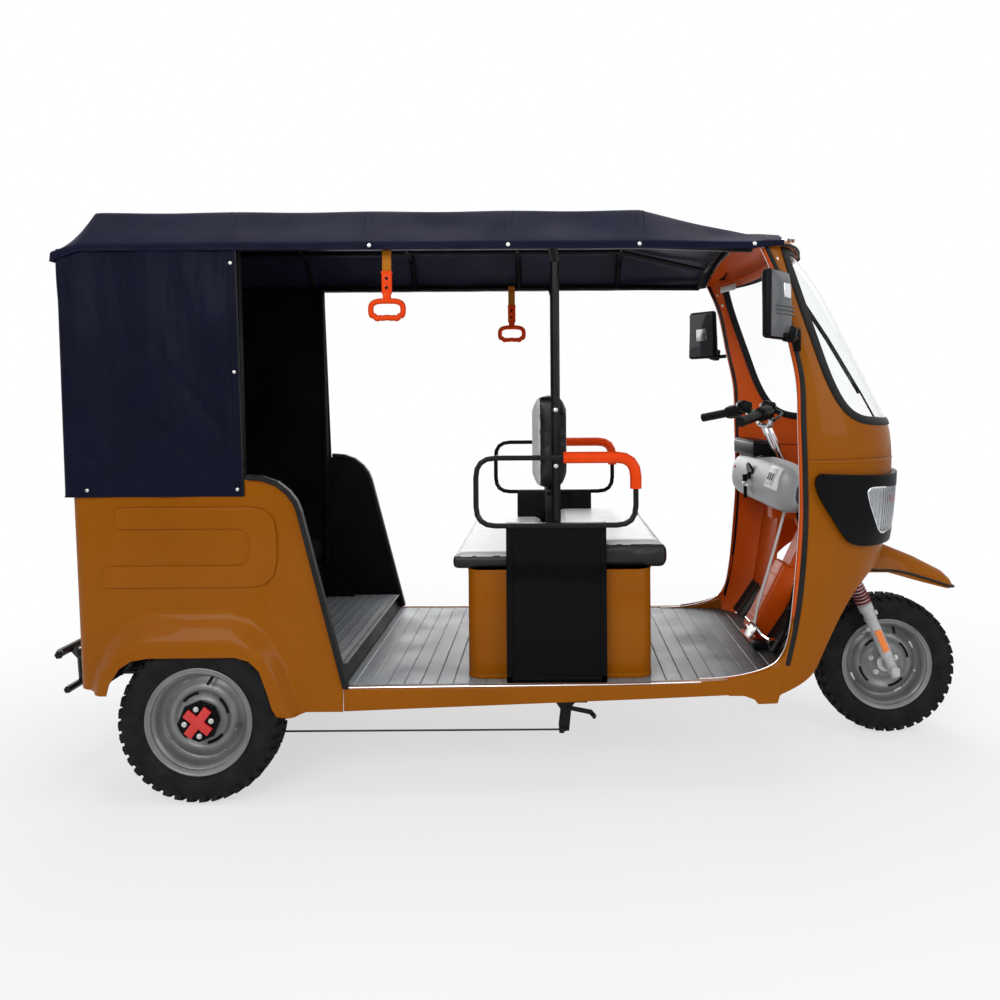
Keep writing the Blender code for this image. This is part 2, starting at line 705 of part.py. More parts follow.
def floor_pan():
    """Floor sheet between two hollow-section sills that narrow towards the front."""
    corners = [(FLOOR_REAR_X - 0.029, sill_inner(FLOOR_REAR_X) + 0.002), (0.400, sill_inner(0.400) + 0.002),
               (FLOOR_FRONT_X, sill_inner(FLOOR_FRONT_X) + 0.002)]
    outline = corners + [(0.900, 0.300)]
    outline = outline + [(x, -y) for x, y in reversed(outline)]
    pan = plate(outline, FLOOR_TOP - FLOOR_SHEET, FLOOR_TOP, "XY")
    for sign in (1, -1):
        rings = []
        for x, outer, low, high in SILL_ROWS:
            rings.append([(x, sign * outer, low), (x, sign * outer, high),
                          (x, sign * (outer - SILL_WIDTH), high), (x, sign * (outer - SILL_WIDTH), low)])
        combine(pan, "UNION", applied(soften(skin(rings, closed=True, caps=True), 0.004)))
    return finish(pan, "floor_pan", OCHRE)


def floor_mat():
    """Rubber mat with a groove across it at every pitch, cut to the tapered floor."""
    low = FLOOR_TOP + SEAT_GAP
    high = FLOOR_TOP + MAT_THICK
    start = -0.5745
    end = 0.872
    top = [(start, high)]
    x = start + MAT_PITCH / 2
    while x < end - 0.01:
        top += [(x - 0.003, high), (x, high - 0.0025), (x + 0.003, high)]
        x += MAT_PITCH
    top.append((end, high))
    outline = [(start, low)] + top + [(end, low)]
    mat = plate(outline, -0.5, 0.5)
    clear = 0.001
    edge = [(start - 0.01, sill_inner(start) - clear), (0.400, sill_inner(0.400) - clear),
            (0.690, sill_inner(0.690) - clear), (0.812, sill_inner(0.812) - clear), (0.885, 0.330)]
    combine(mat, "INTERSECT", plate(edge + [(x, -y) for x, y in reversed(edge)], low - 0.01, high + 0.01, "XY"))
    return finish(mat, "floor_mat", RUBBER)


def front_bulkhead():
    """Sloping toe board between the cowl sides, in front of the steering beam."""
    low = FLOOR_TOP + MAT_THICK + SEAT_GAP
    front_foot, front_top = beam_outline()[1:3]
    slope = (front_top[0] - front_foot[0]) / (front_top[1] - front_foot[1])
    foot_x = front_foot[0] + SEAT_GAP * 1.2
    top_x = foot_x + (0.5400 - low) * slope
    outline = [(foot_x, low), (foot_x + 0.004, low), (top_x + 0.004, 0.5400), (top_x, 0.5400)]
    board = plate(outline, -0.370, 0.370)
    return finish(board, "front_bulkhead", BLACK_PAINT)


# Rear body
# columns: x, z along the edge of the wheel arch, then x, z where its flare meets the flat side
ARCH_ROWS = [(-1.292, 0.345, -1.372, 0.345), (-1.283, 0.380, -1.362, 0.420), (-1.252, 0.428, -1.325, 0.497),
             (-1.215, 0.452, -1.262, 0.567), (-1.165, 0.4605, -1.185, 0.602), (-0.895, 0.4615, -0.935, 0.602),
             (-0.852, 0.449, -0.862, 0.575), (-0.820, 0.418, -0.790, 0.512), (-0.797, 0.355, -0.745, 0.440),
             (-0.780, 0.300, -0.715, 0.350), (-0.766, 0.278, -0.700, 0.300), (-0.738, 0.270, -0.692, 0.270)]
SLOPE_TOP = (-0.710, 0.905)    # on the middle of the trim
SLOPE_LOW = (-0.5665, 0.345)
TRIM_PATH = [(-0.876, 1.0135), (-0.824, 1.009), (-0.780, 0.993), (-0.745, 0.965),
             (-0.722, 0.935), SLOPE_TOP, SLOPE_LOW]


def rear_x(z):
    return BODY_REAR_X + 0.026 * (BODY_TOP - z) / (BODY_TOP - BODY_LOW)


def offset_path(path, distance):
    """Points of a line in side view moved square to it."""
    out = []
    for index, place in enumerate(path):
        before = Vector(path[max(index - 1, 0)])
        after = Vector(path[min(index + 1, len(path) - 1)])
        run = (after - before).normalized()
        out.append((place[0] - run.y * distance, place[1] + run.x * distance))
    return out


def rear_body():
    """Both sides and the tail in one pressed shell, with flared arches and an embossed band."""
    edge = offset_path([(-0.960, 1.0135)] + TRIM_PATH, -TRIM_THICK / 2 - SEAT_GAP)
    levels = [BODY_LOW, 0.660, BODY_TOP]
    rear = [(rear_x(z) + CORNER_RADIUS, HALF_WIDTH_REAR, z) for z in levels]
    outline = list(rear) + [(x, HALF_WIDTH_REAR, z) for x, z in edge]
    outline += [(-0.576, HALF_WIDTH_REAR, SILL_LOW_REAR)]
    flare_edge = [(row[2], HALF_WIDTH_REAR, row[3]) for row in ARCH_ROWS]
    outline += list(reversed(flare_edge))
    mesh = bpy.data.meshes.new("rear_body")
    bm = bmesh.new()
    bm.faces.new([bm.verts.new(place) for place in outline])
    strips = 4
    rows = []
    for strip in range(strips + 1):
        share = strip / strips
        blend = min(1.0, max(0.0, (share - 0.30) / 0.70))
        out = FLARE_OUT * (1 - blend * blend * (3 - 2 * blend))
        row = []
        for index, (ax, az, bx, bz) in enumerate(ARCH_ROWS):
            fade = (0.55, 0.85)[index - 10] if index == 11 else 1.0
            row.append(bm.verts.new((ax + (bx - ax) * share, HALF_WIDTH_REAR + out * fade, az + (bz - az) * share)))
        rows.append(row)
    for low, high in zip(rows, rows[1:]):
        for index in range(len(low) - 1):
            bm.faces.new((low[index], low[index + 1], high[index + 1], high[index]))
    corner = []
    for z in levels:
        column = []
        for step in range(5):
            angle = math.radians(22.5 * step)
            column.append(bm.verts.new((rear_x(z) + CORNER_RADIUS - CORNER_RADIUS * math.sin(angle),
                                        HALF_WIDTH_REAR - CORNER_RADIUS + CORNER_RADIUS * math.cos(angle), z)))
        column.append(bm.verts.new((rear_x(z), 0.0, z)))
        corner.append(column)
    for low, high in zip(corner, corner[1:]):
        for index in range(len(low) - 1):
            bm.faces.new((low[index], low[index + 1], high[index + 1], high[index]))
    bmesh.ops.remove_doubles(bm, verts=bm.verts, dist=0.00005)
    bmesh.ops.recalc_face_normals(bm, faces=bm.faces)
    up = sum((face.normal.y * face.calc_area() for face in bm.faces), 0.0)
    if up < 0:
        bmesh.ops.reverse_faces(bm, faces=bm.faces)
    bm.to_mesh(mesh)
    bm.free()
    body = mirrored(mesh_object("rear_body", mesh))
    body = applied(thicken(body, STEEL, -1.0))
    for sign in (1, -1):
        combine(body, "UNION", side_band(sign))
    return finish(body, "rear_body", OCHRE, 30)


BAND_TOP = 0.919
BAND_LOW = 0.666
BAND_WIDTH = 0.068
BAND_FRONT_X = -0.780
BAND_RADIUS = 0.085
BAND_OUT = 0.007


def side_band(sign):
    """Raised band shaped like a U lying on its side, open towards the tail."""
    inner = BAND_RADIUS - 0.040
    top_inner = BAND_TOP - BAND_WIDTH
    low_inner = BAND_LOW + BAND_WIDTH
    corners = [(-1.290, BAND_TOP), (BAND_FRONT_X, BAND_TOP), (BAND_FRONT_X, BAND_LOW), (-1.330, BAND_LOW),
               (-1.330, low_inner), (BAND_FRONT_X - 0.085, low_inner), (BAND_FRONT_X - 0.085, top_inner),
               (-1.290, top_inner)]
    radii = [0.020, BAND_RADIUS, BAND_RADIUS, 0.020, 0.020, inner, inner, 0.020]
    points = [Vector((x, 0, z)) for x, z in corners]
    outline = []
    count = len(points)
    for index, corner in enumerate(points):
        trio = round_path([points[index - 1], corner, points[(index + 1) % count]], radii[index], 3)
        outline += [(place.x, place.z) for place in trio[1:-1]]
    low = HALF_WIDTH_REAR - 0.0015
    high = HALF_WIDTH_REAR + BAND_OUT
    if sign < 0:
        low, high = -high, -low
    band = plate(outline, low, high)
    return applied(soften(band, 0.005, 1, 50))


def edge_trims():
    """Rubber edging pushed over the front edge of each side."""
    middle = HALF_WIDTH_REAR - STEEL / 2
    path = offset_path(TRIM_PATH, 0.0)
    inner = offset_path(path, -TRIM_THICK / 2)
    outer = offset_path(path, TRIM_THICK / 2)
    for side, sign in (("left", 1), ("right", -1)):
        strip = plate(inner + list(reversed(outer)), sign * middle - TRIM_WIDTH / 2, sign * middle + TRIM_WIDTH / 2)
        soften(strip, 0.004, 1, 40)
        finish(strip, "edge_trim_" + side, RUBBER)


LINER_CLEAR = 0.0005


def side_liners():
    """Inner board of each rear side with the housing over the wheel."""
    boards = []
    face = HALF_WIDTH_REAR - STEEL - LINER_CLEAR
    back = face - STEEL
    floor_z = STEP_TOP - 0.016
    outline = [(-1.350, floor_z), (-1.360, 0.985), (-0.905, 0.985), (-0.830, 0.975), (-0.770, 0.935),
               (-0.748, 0.890), (-0.622, 0.420), (-0.618, floor_z)]
    for sign in (1, -1):
        low, high = sorted((sign * back, sign * face))
        liner = plate(outline, low, high)
        cap = rod((AXLE_X_REAR, sign * (HOUSING_WALL_Y - STEEL), TYRE_RADIUS), (AXLE_X_REAR, sign * (face - 0.0004), TYRE_RADIUS),
                  HOUSING_RADIUS, 24)
        room = rod((AXLE_X_REAR, sign * HOUSING_WALL_Y, TYRE_RADIUS), (AXLE_X_REAR, sign * (face + 0.02), TYRE_RADIUS),
                   HOUSING_RADIUS - STEEL, 24)
        combine(liner, "UNION", cap)
        combine(liner, "DIFFERENCE", room, box(-1.6, -0.4, sign * 0.47 - 0.1, sign * 0.47 + 0.1, -0.1, floor_z))
        boards.append(applied(liner))
    return boards


def rear_lining():
    """Ribbed step with its sloping riser, the side boards and the bench box, joined."""
    floor_z = STEP_TOP - 0.016
    foot = FLOOR_TOP + SEAT_GAP
    front = -0.5755
    slab = [(-0.8970, floor_z), (-0.8970, STEP_TOP)]
    x = -0.870
    while x < front - 0.06:
        slab += [(x - 0.003, STEP_TOP), (x, STEP_TOP - 0.0025), (x + 0.003, STEP_TOP)]
        x += MAT_PITCH
    slab += [(front - 0.032, STEP_TOP), (front, foot), (front - 0.014, foot), (front - 0.040, floor_z)]
    narrow = HOUSING_WALL_Y - STEEL / 2
    step = plate(slab, -narrow, narrow)
    wide = HALF_WIDTH_REAR - STEEL * 1.5 - LINER_CLEAR
    wing = [(-0.7080, floor_z), (-0.7080, STEP_TOP), (front - 0.032, STEP_TOP), (front, foot),
            (front - 0.014, foot), (front - 0.040, floor_z)]
    for sign in (1, -1):
        low, high = sorted((sign * (narrow - 0.002), sign * wide))
        combine(step, "UNION", plate(wing, low, high))
    half = HOUSING_WALL_Y - STEEL / 2
    bench = box(BODY_REAR_X + 0.074, BENCH_FRONT_X, -half, half, REAR_RAIL_TOP + SEAT_GAP, BENCH_TOP)
    combine(step, "UNION", bench, *side_liners())
    return finish(step, "rear_lining", BLACK_PLASTIC)


def rear_seat():
    """Cushion and backrest of the passenger bench."""
    cushion_half = HALF_WIDTH_REAR - 0.050
    back_half = HALF_WIDTH_REAR - 0.055
    cushion = box(BODY_REAR_X + 0.084, BENCH_FRONT_X + 0.020, -cushion_half, cushion_half, BENCH_TOP + SEAT_GAP, BENCH_TOP + 0.110, 0.030, 2)
    finish(cushion, "rear_cushion", VINYL, 40)
    lean = [(-1.366, BENCH_TOP + 0.1103), (-1.270, BENCH_TOP + 0.1103), (-1.310, 1.120), (-1.372, 1.120)]
    back = plate(lean, -back_half, back_half)
    soften(back, 0.025, 2)
    finish(back, "rear_backrest", VINYL, 40)


chassis_frame()
steering_head()
rear_axle()
floor_pan()
floor_mat()
front_bulkhead()
rear_body()
edge_trims()
rear_lining()
rear_seat()


# Roof
BOW_X = [-1.390, -0.948, -0.501, -0.047, 0.383]
# columns: x, inset from the widest line, lower edge, crease, shoulder y, shoulder z, z at 0.2 m, z at the middle
ROOF_ROWS = [(-1.4910, 0.0000, 1.7000, 1.7300, 0.4200, 1.7330, 1.7340, 1.7340),
             (-1.4050, 0.0000, 1.7300, 1.7520, 0.4000, 1.8730, 1.8970, 1.9050),
             (-1.1800, 0.0000, 1.7300, 1.7500, 0.4000, 1.8680, 1.8900, 1.8970),
             (-0.9480, 0.0000, 1.7300, 1.7520, 0.4000, 1.8730, 1.8970, 1.9050),
             (-0.7250, 0.0000, 1.7300, 1.7500, 0.4000, 1.8680, 1.8900, 1.8970),
             (-0.5010, 0.0000, 1.7300, 1.7520, 0.4000, 1.8730, 1.8970, 1.9050),
             (-0.2740, 0.0000, 1.7300, 1.7500, 0.4000, 1.8680, 1.8900, 1.8970),
             (-0.0470, 0.0000, 1.7300, 1.7520, 0.4000, 1.8730, 1.8970, 1.9050),
             (0.1680, 0.0000, 1.7300, 1.7500, 0.4000, 1.8680, 1.8900, 1.8970),
             (0.3830, 0.0050, 1.7300, 1.7520, 0.3980, 1.8710, 1.8950, 1.9030),
             (0.5700, 0.0150, 1.7300, 1.7510, 0.3980, 1.8260, 1.8580, 1.8700),
             (0.7360, 0.0270, 1.7300, 1.7510, 0.3980, 1.7880, 1.8270, 1.8400),
             (0.7850, 0.0330, 1.7370, 1.7570, 0.3980, 1.7880, 1.8230, 1.8370),
             (0.8400, 0.0390, 1.7410, 1.7570, 0.4020, 1.7830, 1.8200, 1.8340)]
CLOTH_CLEAR = 0.0008
REAR_POST_FOOT = 0.5326   # on the wheel housing


def canopy():
    """Roof cloth: valance, crease and crown along both sides, sloping down at the tail."""
    rings = []
    for x, inset_y, low, crease, edge_y, edge_z, mid_z, crown_z in ROOF_ROWS:
        half = ROOF_HALF - inset_y
        rings.append([(x, half, low), (x, half, crease), (x, edge_y, edge_z), (x, 0.2, mid_z), (x, 0.0, crown_z)])
    roof = skin(rings)
    bm = bmesh.new()
    bm.from_mesh(roof.data)
    if sum(face.normal.z * face.calc_area() for face in bm.faces) < 0:
        bmesh.ops.reverse_faces(bm, faces=bm.faces)
    bm.to_mesh(roof.data)
    bm.free()
    roof = thicken(mirrored(roof), CLOTH, -1.0)
    return finish(roof, "canopy", CLOTH_NAVY, 30)


def roof_frame():
    """Bows, side rails, ridge rails and posts, welded together."""
    drop = CLOTH + CLOTH_CLEAR + BOW_RADIUS
    rail_y = ROOF_HALF - drop - 0.0047
    front_y = ROOF_HALF - 0.033 - drop
    tail_z = RAIL_Z - 0.026
    tail_x = -1.455
    side_y = HALF_WIDTH_REAR - 0.027
    tail_y = HALF_WIDTH_REAR - 0.040
    frame = None
    for x in BOW_X:
        half = [(x, rail_y, RAIL_Z), (x, 0.400 - drop * 0.75, 1.873 - drop * 1.15), (x, 0.200, 1.897 - drop * 1.1),
                (x, 0.0, 1.905 - drop * 1.1)]
        path = flip_y(half[:-1]) + list(reversed(half))
        bow = tube_path(path, BOW_RADIUS, 6)
        if frame is None:
            frame = bow
        else:
            combine(frame, "UNION", bow)
    for sign in (1, -1):
        rail = [(tail_x, sign * (rail_y - 0.014), tail_z), (-1.400, sign * rail_y, RAIL_Z),
                (0.383, sign * (rail_y - 0.0015), RAIL_Z - 0.002),
                (0.735, sign * (front_y - 0.004), RAIL_Z - 0.010)]
        ridge = [(BOW_X[0], sign * 0.300, 1.884 - drop * 1.2), (0.386, sign * 0.300, 1.882 - drop * 1.2),
                 (0.735, sign * 0.300, 1.800 - drop * 1.0)]
        combine(frame, "UNION", tube_path(rail, BOW_RADIUS + 0.001, 6), tube_path(ridge, BOW_RADIUS - 0.002, 6))
        post = tube_path([(POST_X, sign * POST_Y, FLOOR_TOP + MAT_THICK + SEAT_GAP), (POST_X, sign * POST_Y, 1.700),
                          (POST_X - 0.008, sign * rail_y, RAIL_Z)], POST_RADIUS, 6)
        rear = tube_path([(-0.897, sign * side_y, REAR_POST_FOOT), (-0.897, sign * side_y, BODY_TOP),
                          (-0.912, sign * side_y, RAIL_Z)], POST_RADIUS - 0.002, 6)
        tail = tube_path([(-1.388, sign * tail_y, REAR_RAIL_TOP - 0.007 + SEAT_GAP), (-1.388, sign * tail_y, BODY_TOP),
                          (tail_x, sign * tail_y, tail_z)], POST_RADIUS - 0.004, 6)
        combine(frame, "UNION", post, rear, tail)
    front_bow = tube_path([(0.733, -front_y + 0.004, RAIL_Z - 0.010), (0.733, -0.300, 1.800 - drop),
                           (0.733, 0.0, 1.832 - drop), (0.733, 0.300, 1.800 - drop),
                           (0.733, front_y - 0.004, RAIL_Z - 0.010)], BOW_RADIUS - 0.001, 6)
    tail_bar = tube_path([(tail_x, -rail_y + 0.014, tail_z), (tail_x, rail_y - 0.014, tail_z)],
                         BOW_RADIUS, 6)
    combine(frame, "UNION", front_bow, tail_bar)
    return finish(frame, "roof_frame", BLACK_PAINT)


def curtain():
    """Cloth round the passenger space, from the rear edge of one doorway round the tail to the other."""
    top_z = 1.7180
    low_z = 0.952
    face = HALF_WIDTH_REAR + CLOTH + CLOTH_CLEAR
    rings = []
    for z in (low_z, 1.210, 1.470, top_z):
        share = (z - low_z) / (top_z - low_z)
        rear = BODY_REAR_X - 0.010 - 0.031 * share
        front = -0.883 - 0.026 * share
        out = face - 0.0103 * share
        rings.append([(front, out, z), (-1.150, out, z), (rear + 0.045, out, z), (rear + 0.013, out - 0.013, z),
                      (rear, out - 0.045, z), (rear, 0.0, z)])
    cloth = skin(rings)
    bm = bmesh.new()
    bm.from_mesh(cloth.data)
    if sum(face_.normal.y * face_.calc_area() for face_ in bm.faces) < 0:
        bmesh.ops.reverse_faces(bm, faces=bm.faces)
    bm.to_mesh(cloth.data)
    bm.free()
    cloth = thicken(mirrored(cloth), CLOTH, -1.0)
    return finish(cloth, "rear_curtain", CLOTH_NAVY, 30)


def grab_handles():
    """Hanging straps with a finger-waved ring each."""
    # columns: name, x, side, height of the ring's middle
    for name, x, sign, ring_z in (("right", -0.438, -1, 1.545), ("left", -0.079, 1, 1.538)):
        y = sign * 0.452
        ring = []
        count = 20
        for step in range(count):
            angle = 2 * math.pi * step / count
            px = 0.056 * math.copysign(abs(math.cos(angle)) ** 0.75, math.cos(angle))
            pz = 0.031 * math.copysign(abs(math.sin(angle)) ** 0.75, math.sin(angle))
            if pz < 0:
                pz += 0.0035 * math.cos(6 * math.pi * px / 0.056)
            ring.append((x + px, y, ring_z + pz))
        handle = tube_path(ring, 0.0075, 6, cyclic=True)
        strap_low = ring_z + 0.0287
        strap = box(x - 0.012, x + 0.012, y - 0.002, y + 0.002, strap_low, RAIL_Z)
        clip = box(x - 0.014, x + 0.014, y - 0.007, y + 0.007, strap_low - 0.003, strap_low + 0.020)
        hook_low, hook_high = sorted((sign * 0.449, sign * (ROOF_HALF - CLOTH - CLOTH_CLEAR - 2 * BOW_RADIUS - 0.0070)))
        hook = box(x - 0.016, x + 0.016, hook_low, hook_high, RAIL_Z - 0.012, RAIL_Z + 0.006)
        combine(handle, "UNION", strap, clip, hook)
        finish(handle, "grab_handle_" + name, ORANGE)


# Middle seat
def middle_seat():
    """Seat box with its side plates, cushions, backrest and armrests."""
    low = FLOOR_TOP + MAT_THICK + SEAT_GAP
    base = applied(box(SEAT_X0, SEAT_X1, -SEAT_HALF, SEAT_HALF, low, SEAT_TOP, 0.022, 2))
    combine(base, "UNION", box(STAY_X0, STAY_X1, -0.120, 0.120, SEAT_TOP - 0.010, BACKREST_LOW - SEAT_GAP))
    finish(base, "seat_base", OCHRE, 40)
    shelf_z = SEAT_TOP + SEAT_GAP
    rear_pad = box(SEAT_X0 - 0.058, STAY_X0 - 0.003, 0.001 - SEAT_HALF, SEAT_HALF - 0.001, shelf_z, shelf_z + 0.055, 0.016, 2)
    finish(rear_pad, "rear_facing_cushion", VINYL, 40)
    pad = box(STAY_X1 + 0.003, SEAT_X1 + 0.062, 0.001 - SEAT_HALF, SEAT_HALF - 0.001, shelf_z, shelf_z + 0.090, 0.022, 2)
    finish(pad, "driver_cushion", VINYL, 40)
    back = box(0.022, 0.140, -0.160, 0.160, BACKREST_LOW, BACKREST_LOW + 0.346, 0.028, 2)
    finish(back, "seat_backrest", VINYL, 40)
    for side, sign in (("left", 1), ("right", -1)):
        face = ARM_Y - ARM_RADIUS - SEAT_GAP
        y0, y1 = sorted((sign * (face - PANEL_THICK), sign * face))
        panel = box(PANEL_X0, PANEL_X1, y0, y1, low, PANEL_TOP, 0.003, 1)
        finish(panel, "seat_side_panel_" + side, BLACK_PAINT)
        corners = [(ARM_X0, ARM_LOW), (ARM_X1, ARM_LOW), (ARM_X1, ARM_HIGH), (ARM_X0, ARM_HIGH)]
        loop = round_path([(x, sign * ARM_Y, z) for x, z in corners], 0.062, 4, cyclic=True)
        arm = tube_path(loop, ARM_RADIUS, 6, cyclic=True)
        lug_y0, lug_y1 = sorted((sign * (POST_Y + POST_RADIUS + SEAT_GAP), sign * (ARM_Y - 0.004)))
        combine(arm, "UNION", box(POST_X - 0.016, POST_X + 0.016, lug_y0, lug_y1, ARM_HIGH - 0.012, ARM_HIGH + 0.005))
        finish(arm, "armrest_" + side, BLACK_PAINT, 40)
        bend = [(ARM_X1, sign * ARM_Y, ARM_HIGH - 0.100)] + loop[10:15] + [(POST_X + 0.024, sign * ARM_Y, ARM_HIGH)]
        core = [(ARM_X1, sign * ARM_Y, ARM_HIGH - 0.120)] + loop[10:15] + [(POST_X + 0.010, sign * ARM_Y, ARM_HIGH)]
        cover = tube_path(bend, COVER_RADIUS, 8)
        combine(cover, "DIFFERENCE", tube_path(core, (ARM_RADIUS + 0.0008) / math.cos(math.pi / 6), 6))
        finish(cover, "armrest_cover_" + side, ORANGE)


canopy()
roof_frame()
curtain()
grab_handles()
middle_seat()


# Front cowl
# columns: height, x of the rear edge, half width there, x of the nose
COWL_ROWS = [(0.285, 0.8130, 0.4550, 1.020), (0.386, 0.8360, 0.4570, 1.110), (0.500, 0.8620, 0.4580, 1.185),
             (0.611, 0.8800, 0.4580, 1.238), (0.740, 0.8930, 0.4580, 1.282), (0.868, 0.9000, 0.4580, 1.306),
             (1.025, 0.8990, 0.4580, 1.318), (1.120, 0.8970, 0.4570, 1.314), (1.165, 0.8960, 0.4560, 1.302),
             (1.310, 0.8920, 0.4540, 1.222), (1.452, 0.8620, 0.4530, 1.144), (1.622, 0.8280, 0.4520, 1.040),
             (1.742, 0.7780, 0.4520, 0.938)]
COWL_POWER = 2.3
COWL_STEPS = 8


def cowl_row(z):
    return tuple(between(z, [(row[0], row[column]) for row in COWL_ROWS]) for column in (1, 2, 3))


def cowl_skin(low, high, grow, thickness):
    """Shell of the cowl's surface between two heights, grown outward and thickened inward."""
    levels = [low] + [row[0] for row in COWL_ROWS if low + 0.004 < row[0] < high - 0.004] + [high]
    rings = []
    for z in levels:
        rear, half, nose = cowl_row(z)
        ring = []
        for step in range(COWL_STEPS + 1):
            angle = math.pi / 2 * step / COWL_STEPS
            power = 2 / COWL_POWER
            x = rear + (nose + grow - rear) * math.sin(angle) ** power
            y = (half + grow) * math.cos(angle) ** power if step < COWL_STEPS else 0.0
            ring.append((x, y, z))
        rings.append(ring)
    shell = skin(rings)
    bm = bmesh.new()
    bm.from_mesh(shell.data)
    if sum(face.normal.x * face.calc_area() for face in bm.faces) < 0:
        bmesh.ops.reverse_faces(bm, faces=bm.faces)
    bm.to_mesh(shell.data)
    bm.free()
    return applied(thicken(mirrored(shell), thickness, -1.0))


def inset(outline, distance):
    """Closed outline moved inward along its mitres."""
    area = sum(a[0] * b[1] - b[0] * a[1] for a, b in zip(outline, outline[1:] + outline[:1]))
    turn = 1.0 if area > 0 else -1.0
    out = []
    count = len(outline)
    for index in range(count):
        before = Vector(outline[index - 1])
        here = Vector(outline[index])
        after = Vector(outline[(index + 1) % count])
        first = (here - before).normalized()
        second = (after - here).normalized()
        normal_a = Vector((-first.y, first.x)) * turn
        normal_b = Vector((-second.y, second.x)) * turn
        mitre = (normal_a + normal_b) / (1 + normal_a.dot(normal_b))
        out.append(tuple(here + mitre * distance))
    return out


HEADER_LOW = 1.7420
ARCH_CUT = [(1.500, 0.726), (1.286, 0.720), (1.205, 0.697), (1.136, 0.660), (1.068, 0.598), (1.016, 0.521),
            (0.975, 0.440), (0.939, 0.364), (0.900, 0.332), (0.824, 0.298), (0.790, 0.200), (1.500, 0.200)]
SCREEN_CUT = [(0.845, 1.736), (0.878, 1.622), (0.936, 1.452), (0.988, 1.310), (1.040, 1.222),
              (1.100, 1.182), (1.188, 1.170), (1.500, 1.165), (1.500, 1.736)]
GASKET_WIDTH = 0.018
LAMP_OUTLINE = [(0.932, 0.985), (0.950, 1.004), (1.180, 0.992), (1.500, 0.984), (1.500, 0.764), (1.176, 0.765),
                (1.080, 0.772), (1.045, 0.790), (0.985, 0.868), (0.936, 0.955)]
LENS_OUTLINE = [(1.112, 0.950), (1.130, 0.958), (1.500, 0.944), (1.500, 0.798), (1.200, 0.800), (1.176, 0.811)]


def front_cowl():
    """Lower and upper halves of the cowl, meeting at a seam; the screen and the wheel are cut out."""
    lower = cowl_skin(0.285, COWL_SEAM_Z - SEAM_GAP / 2, 0.0, STEEL)
    combine(lower, "DIFFERENCE", plate(ARCH_CUT, -0.6, 0.6))
    finish(lower, "cowl_lower", OCHRE, 30)
    upper = cowl_skin(COWL_SEAM_Z + SEAM_GAP / 2, HEADER_LOW - 0.0004, 0.0, STEEL)
    opening = list(SCREEN_CUT)
    opening[0] = (0.826, 1.800)
    opening[-1] = (1.500, 1.800)
    combine(upper, "DIFFERENCE", plate(opening, -0.6, 0.6))
    finish(upper, "cowl_upper", OCHRE, 30)


def windscreen():
    seal = cowl_skin(1.100, HEADER_LOW - 0.0060, 0.006, 0.014)
    combine(seal, "INTERSECT", plate(inset(SCREEN_CUT, SEAT_GAP), -0.6, 0.6))
    combine(seal, "DIFFERENCE", plate(inset(SCREEN_CUT, GASKET_WIDTH), -0.7, 0.7))
    finish(seal, "windscreen_gasket", RUBBER, 30)
    glass = cowl_skin(1.100, HEADER_LOW - 0.0060, 0.0015, 0.005)
    combine(glass, "INTERSECT", plate(inset(SCREEN_CUT, GASKET_WIDTH + SEAT_GAP), -0.6, 0.6))
    finish(glass, "windscreen", CLEAR, 30)


# columns: x, then y and z of five points from the side up to the middle
HEADER_ROWS = [(0.7750, ((0.4580, 1.7440), (0.4250, 1.7620), (0.3400, 1.7820), (0.2000, 1.8040), (0.0, 1.8150))),
               (0.8300, ((0.4500, 1.7440), (0.4130, 1.7660), (0.3300, 1.7880), (0.2000, 1.8100), (0.0, 1.8240))),
               (0.8800, ((0.4180, 1.7440), (0.3780, 1.7680), (0.3100, 1.7870), (0.2000, 1.8070), (0.0, 1.8220))),
               (0.9220, ((0.3400, 1.7440), (0.3050, 1.7600), (0.2600, 1.7740), (0.1700, 1.7900), (0.0, 1.8060))),
               (0.9580, ((0.2300, 1.7440), (0.2100, 1.7500), (0.1800, 1.7580), (0.1100, 1.7690), (0.0, 1.7790))),
               (0.9660, ((0.2100, 1.7380), (0.1950, 1.7380), (0.1600, 1.7380), (0.0900, 1.7380), (0.0, 1.7380)))]


def header():
    """Cap over the windscreen that the roof cloth runs onto."""
    rings = []
    for x, pairs in HEADER_ROWS:
        rings.append([(x, y, z) for y, z in pairs])
    cap = skin(rings)
    bm = bmesh.new()
    bm.from_mesh(cap.data)
    if sum(face.normal.z * face.calc_area() for face in bm.faces) < 0:
        bmesh.ops.reverse_faces(bm, faces=bm.faces)
    bm.to_mesh(cap.data)
    bm.free()
    cap = thicken(mirrored(cap), 0.004, -1.0)
    return finish(cap, "windscreen_header", OCHRE, 30)


def lamps():
    """Black housings wrapped round the corners of the nose, each with a clear lens."""
    for side, sign in (("left", 1), ("right", -1)):
        y0, y1 = sorted((sign * 0.125, sign * 0.7))
        housing = cowl_skin(0.730, 1.020, LAMP_OUT, LAMP_OUT - SEAT_GAP * 2)
        combine(housing, "INTERSECT", plate(LAMP_OUTLINE, y0, y1))
        lens_y0, lens_y1 = sorted((sign * 0.160, sign * 0.7))
        combine(housing, "DIFFERENCE", plate(LENS_OUTLINE, lens_y0, lens_y1))
        finish(housing, "lamp_housing_" + side, BLACK_PLASTIC, 30)
        lens = cowl_skin(0.730, 1.020, LENS_OUT - 0.004, LENS_OUT - 0.004 - SEAT_GAP * 2)
        lens_y0, lens_y1 = sorted((sign * (0.160 + SEAT_GAP), sign * 0.69))
        combine(lens, "INTERSECT", plate(inset(LENS_OUTLINE, SEAT_GAP), lens_y0, lens_y1))
        finish(lens, "lamp_lens_" + side, CLEAR, 30)


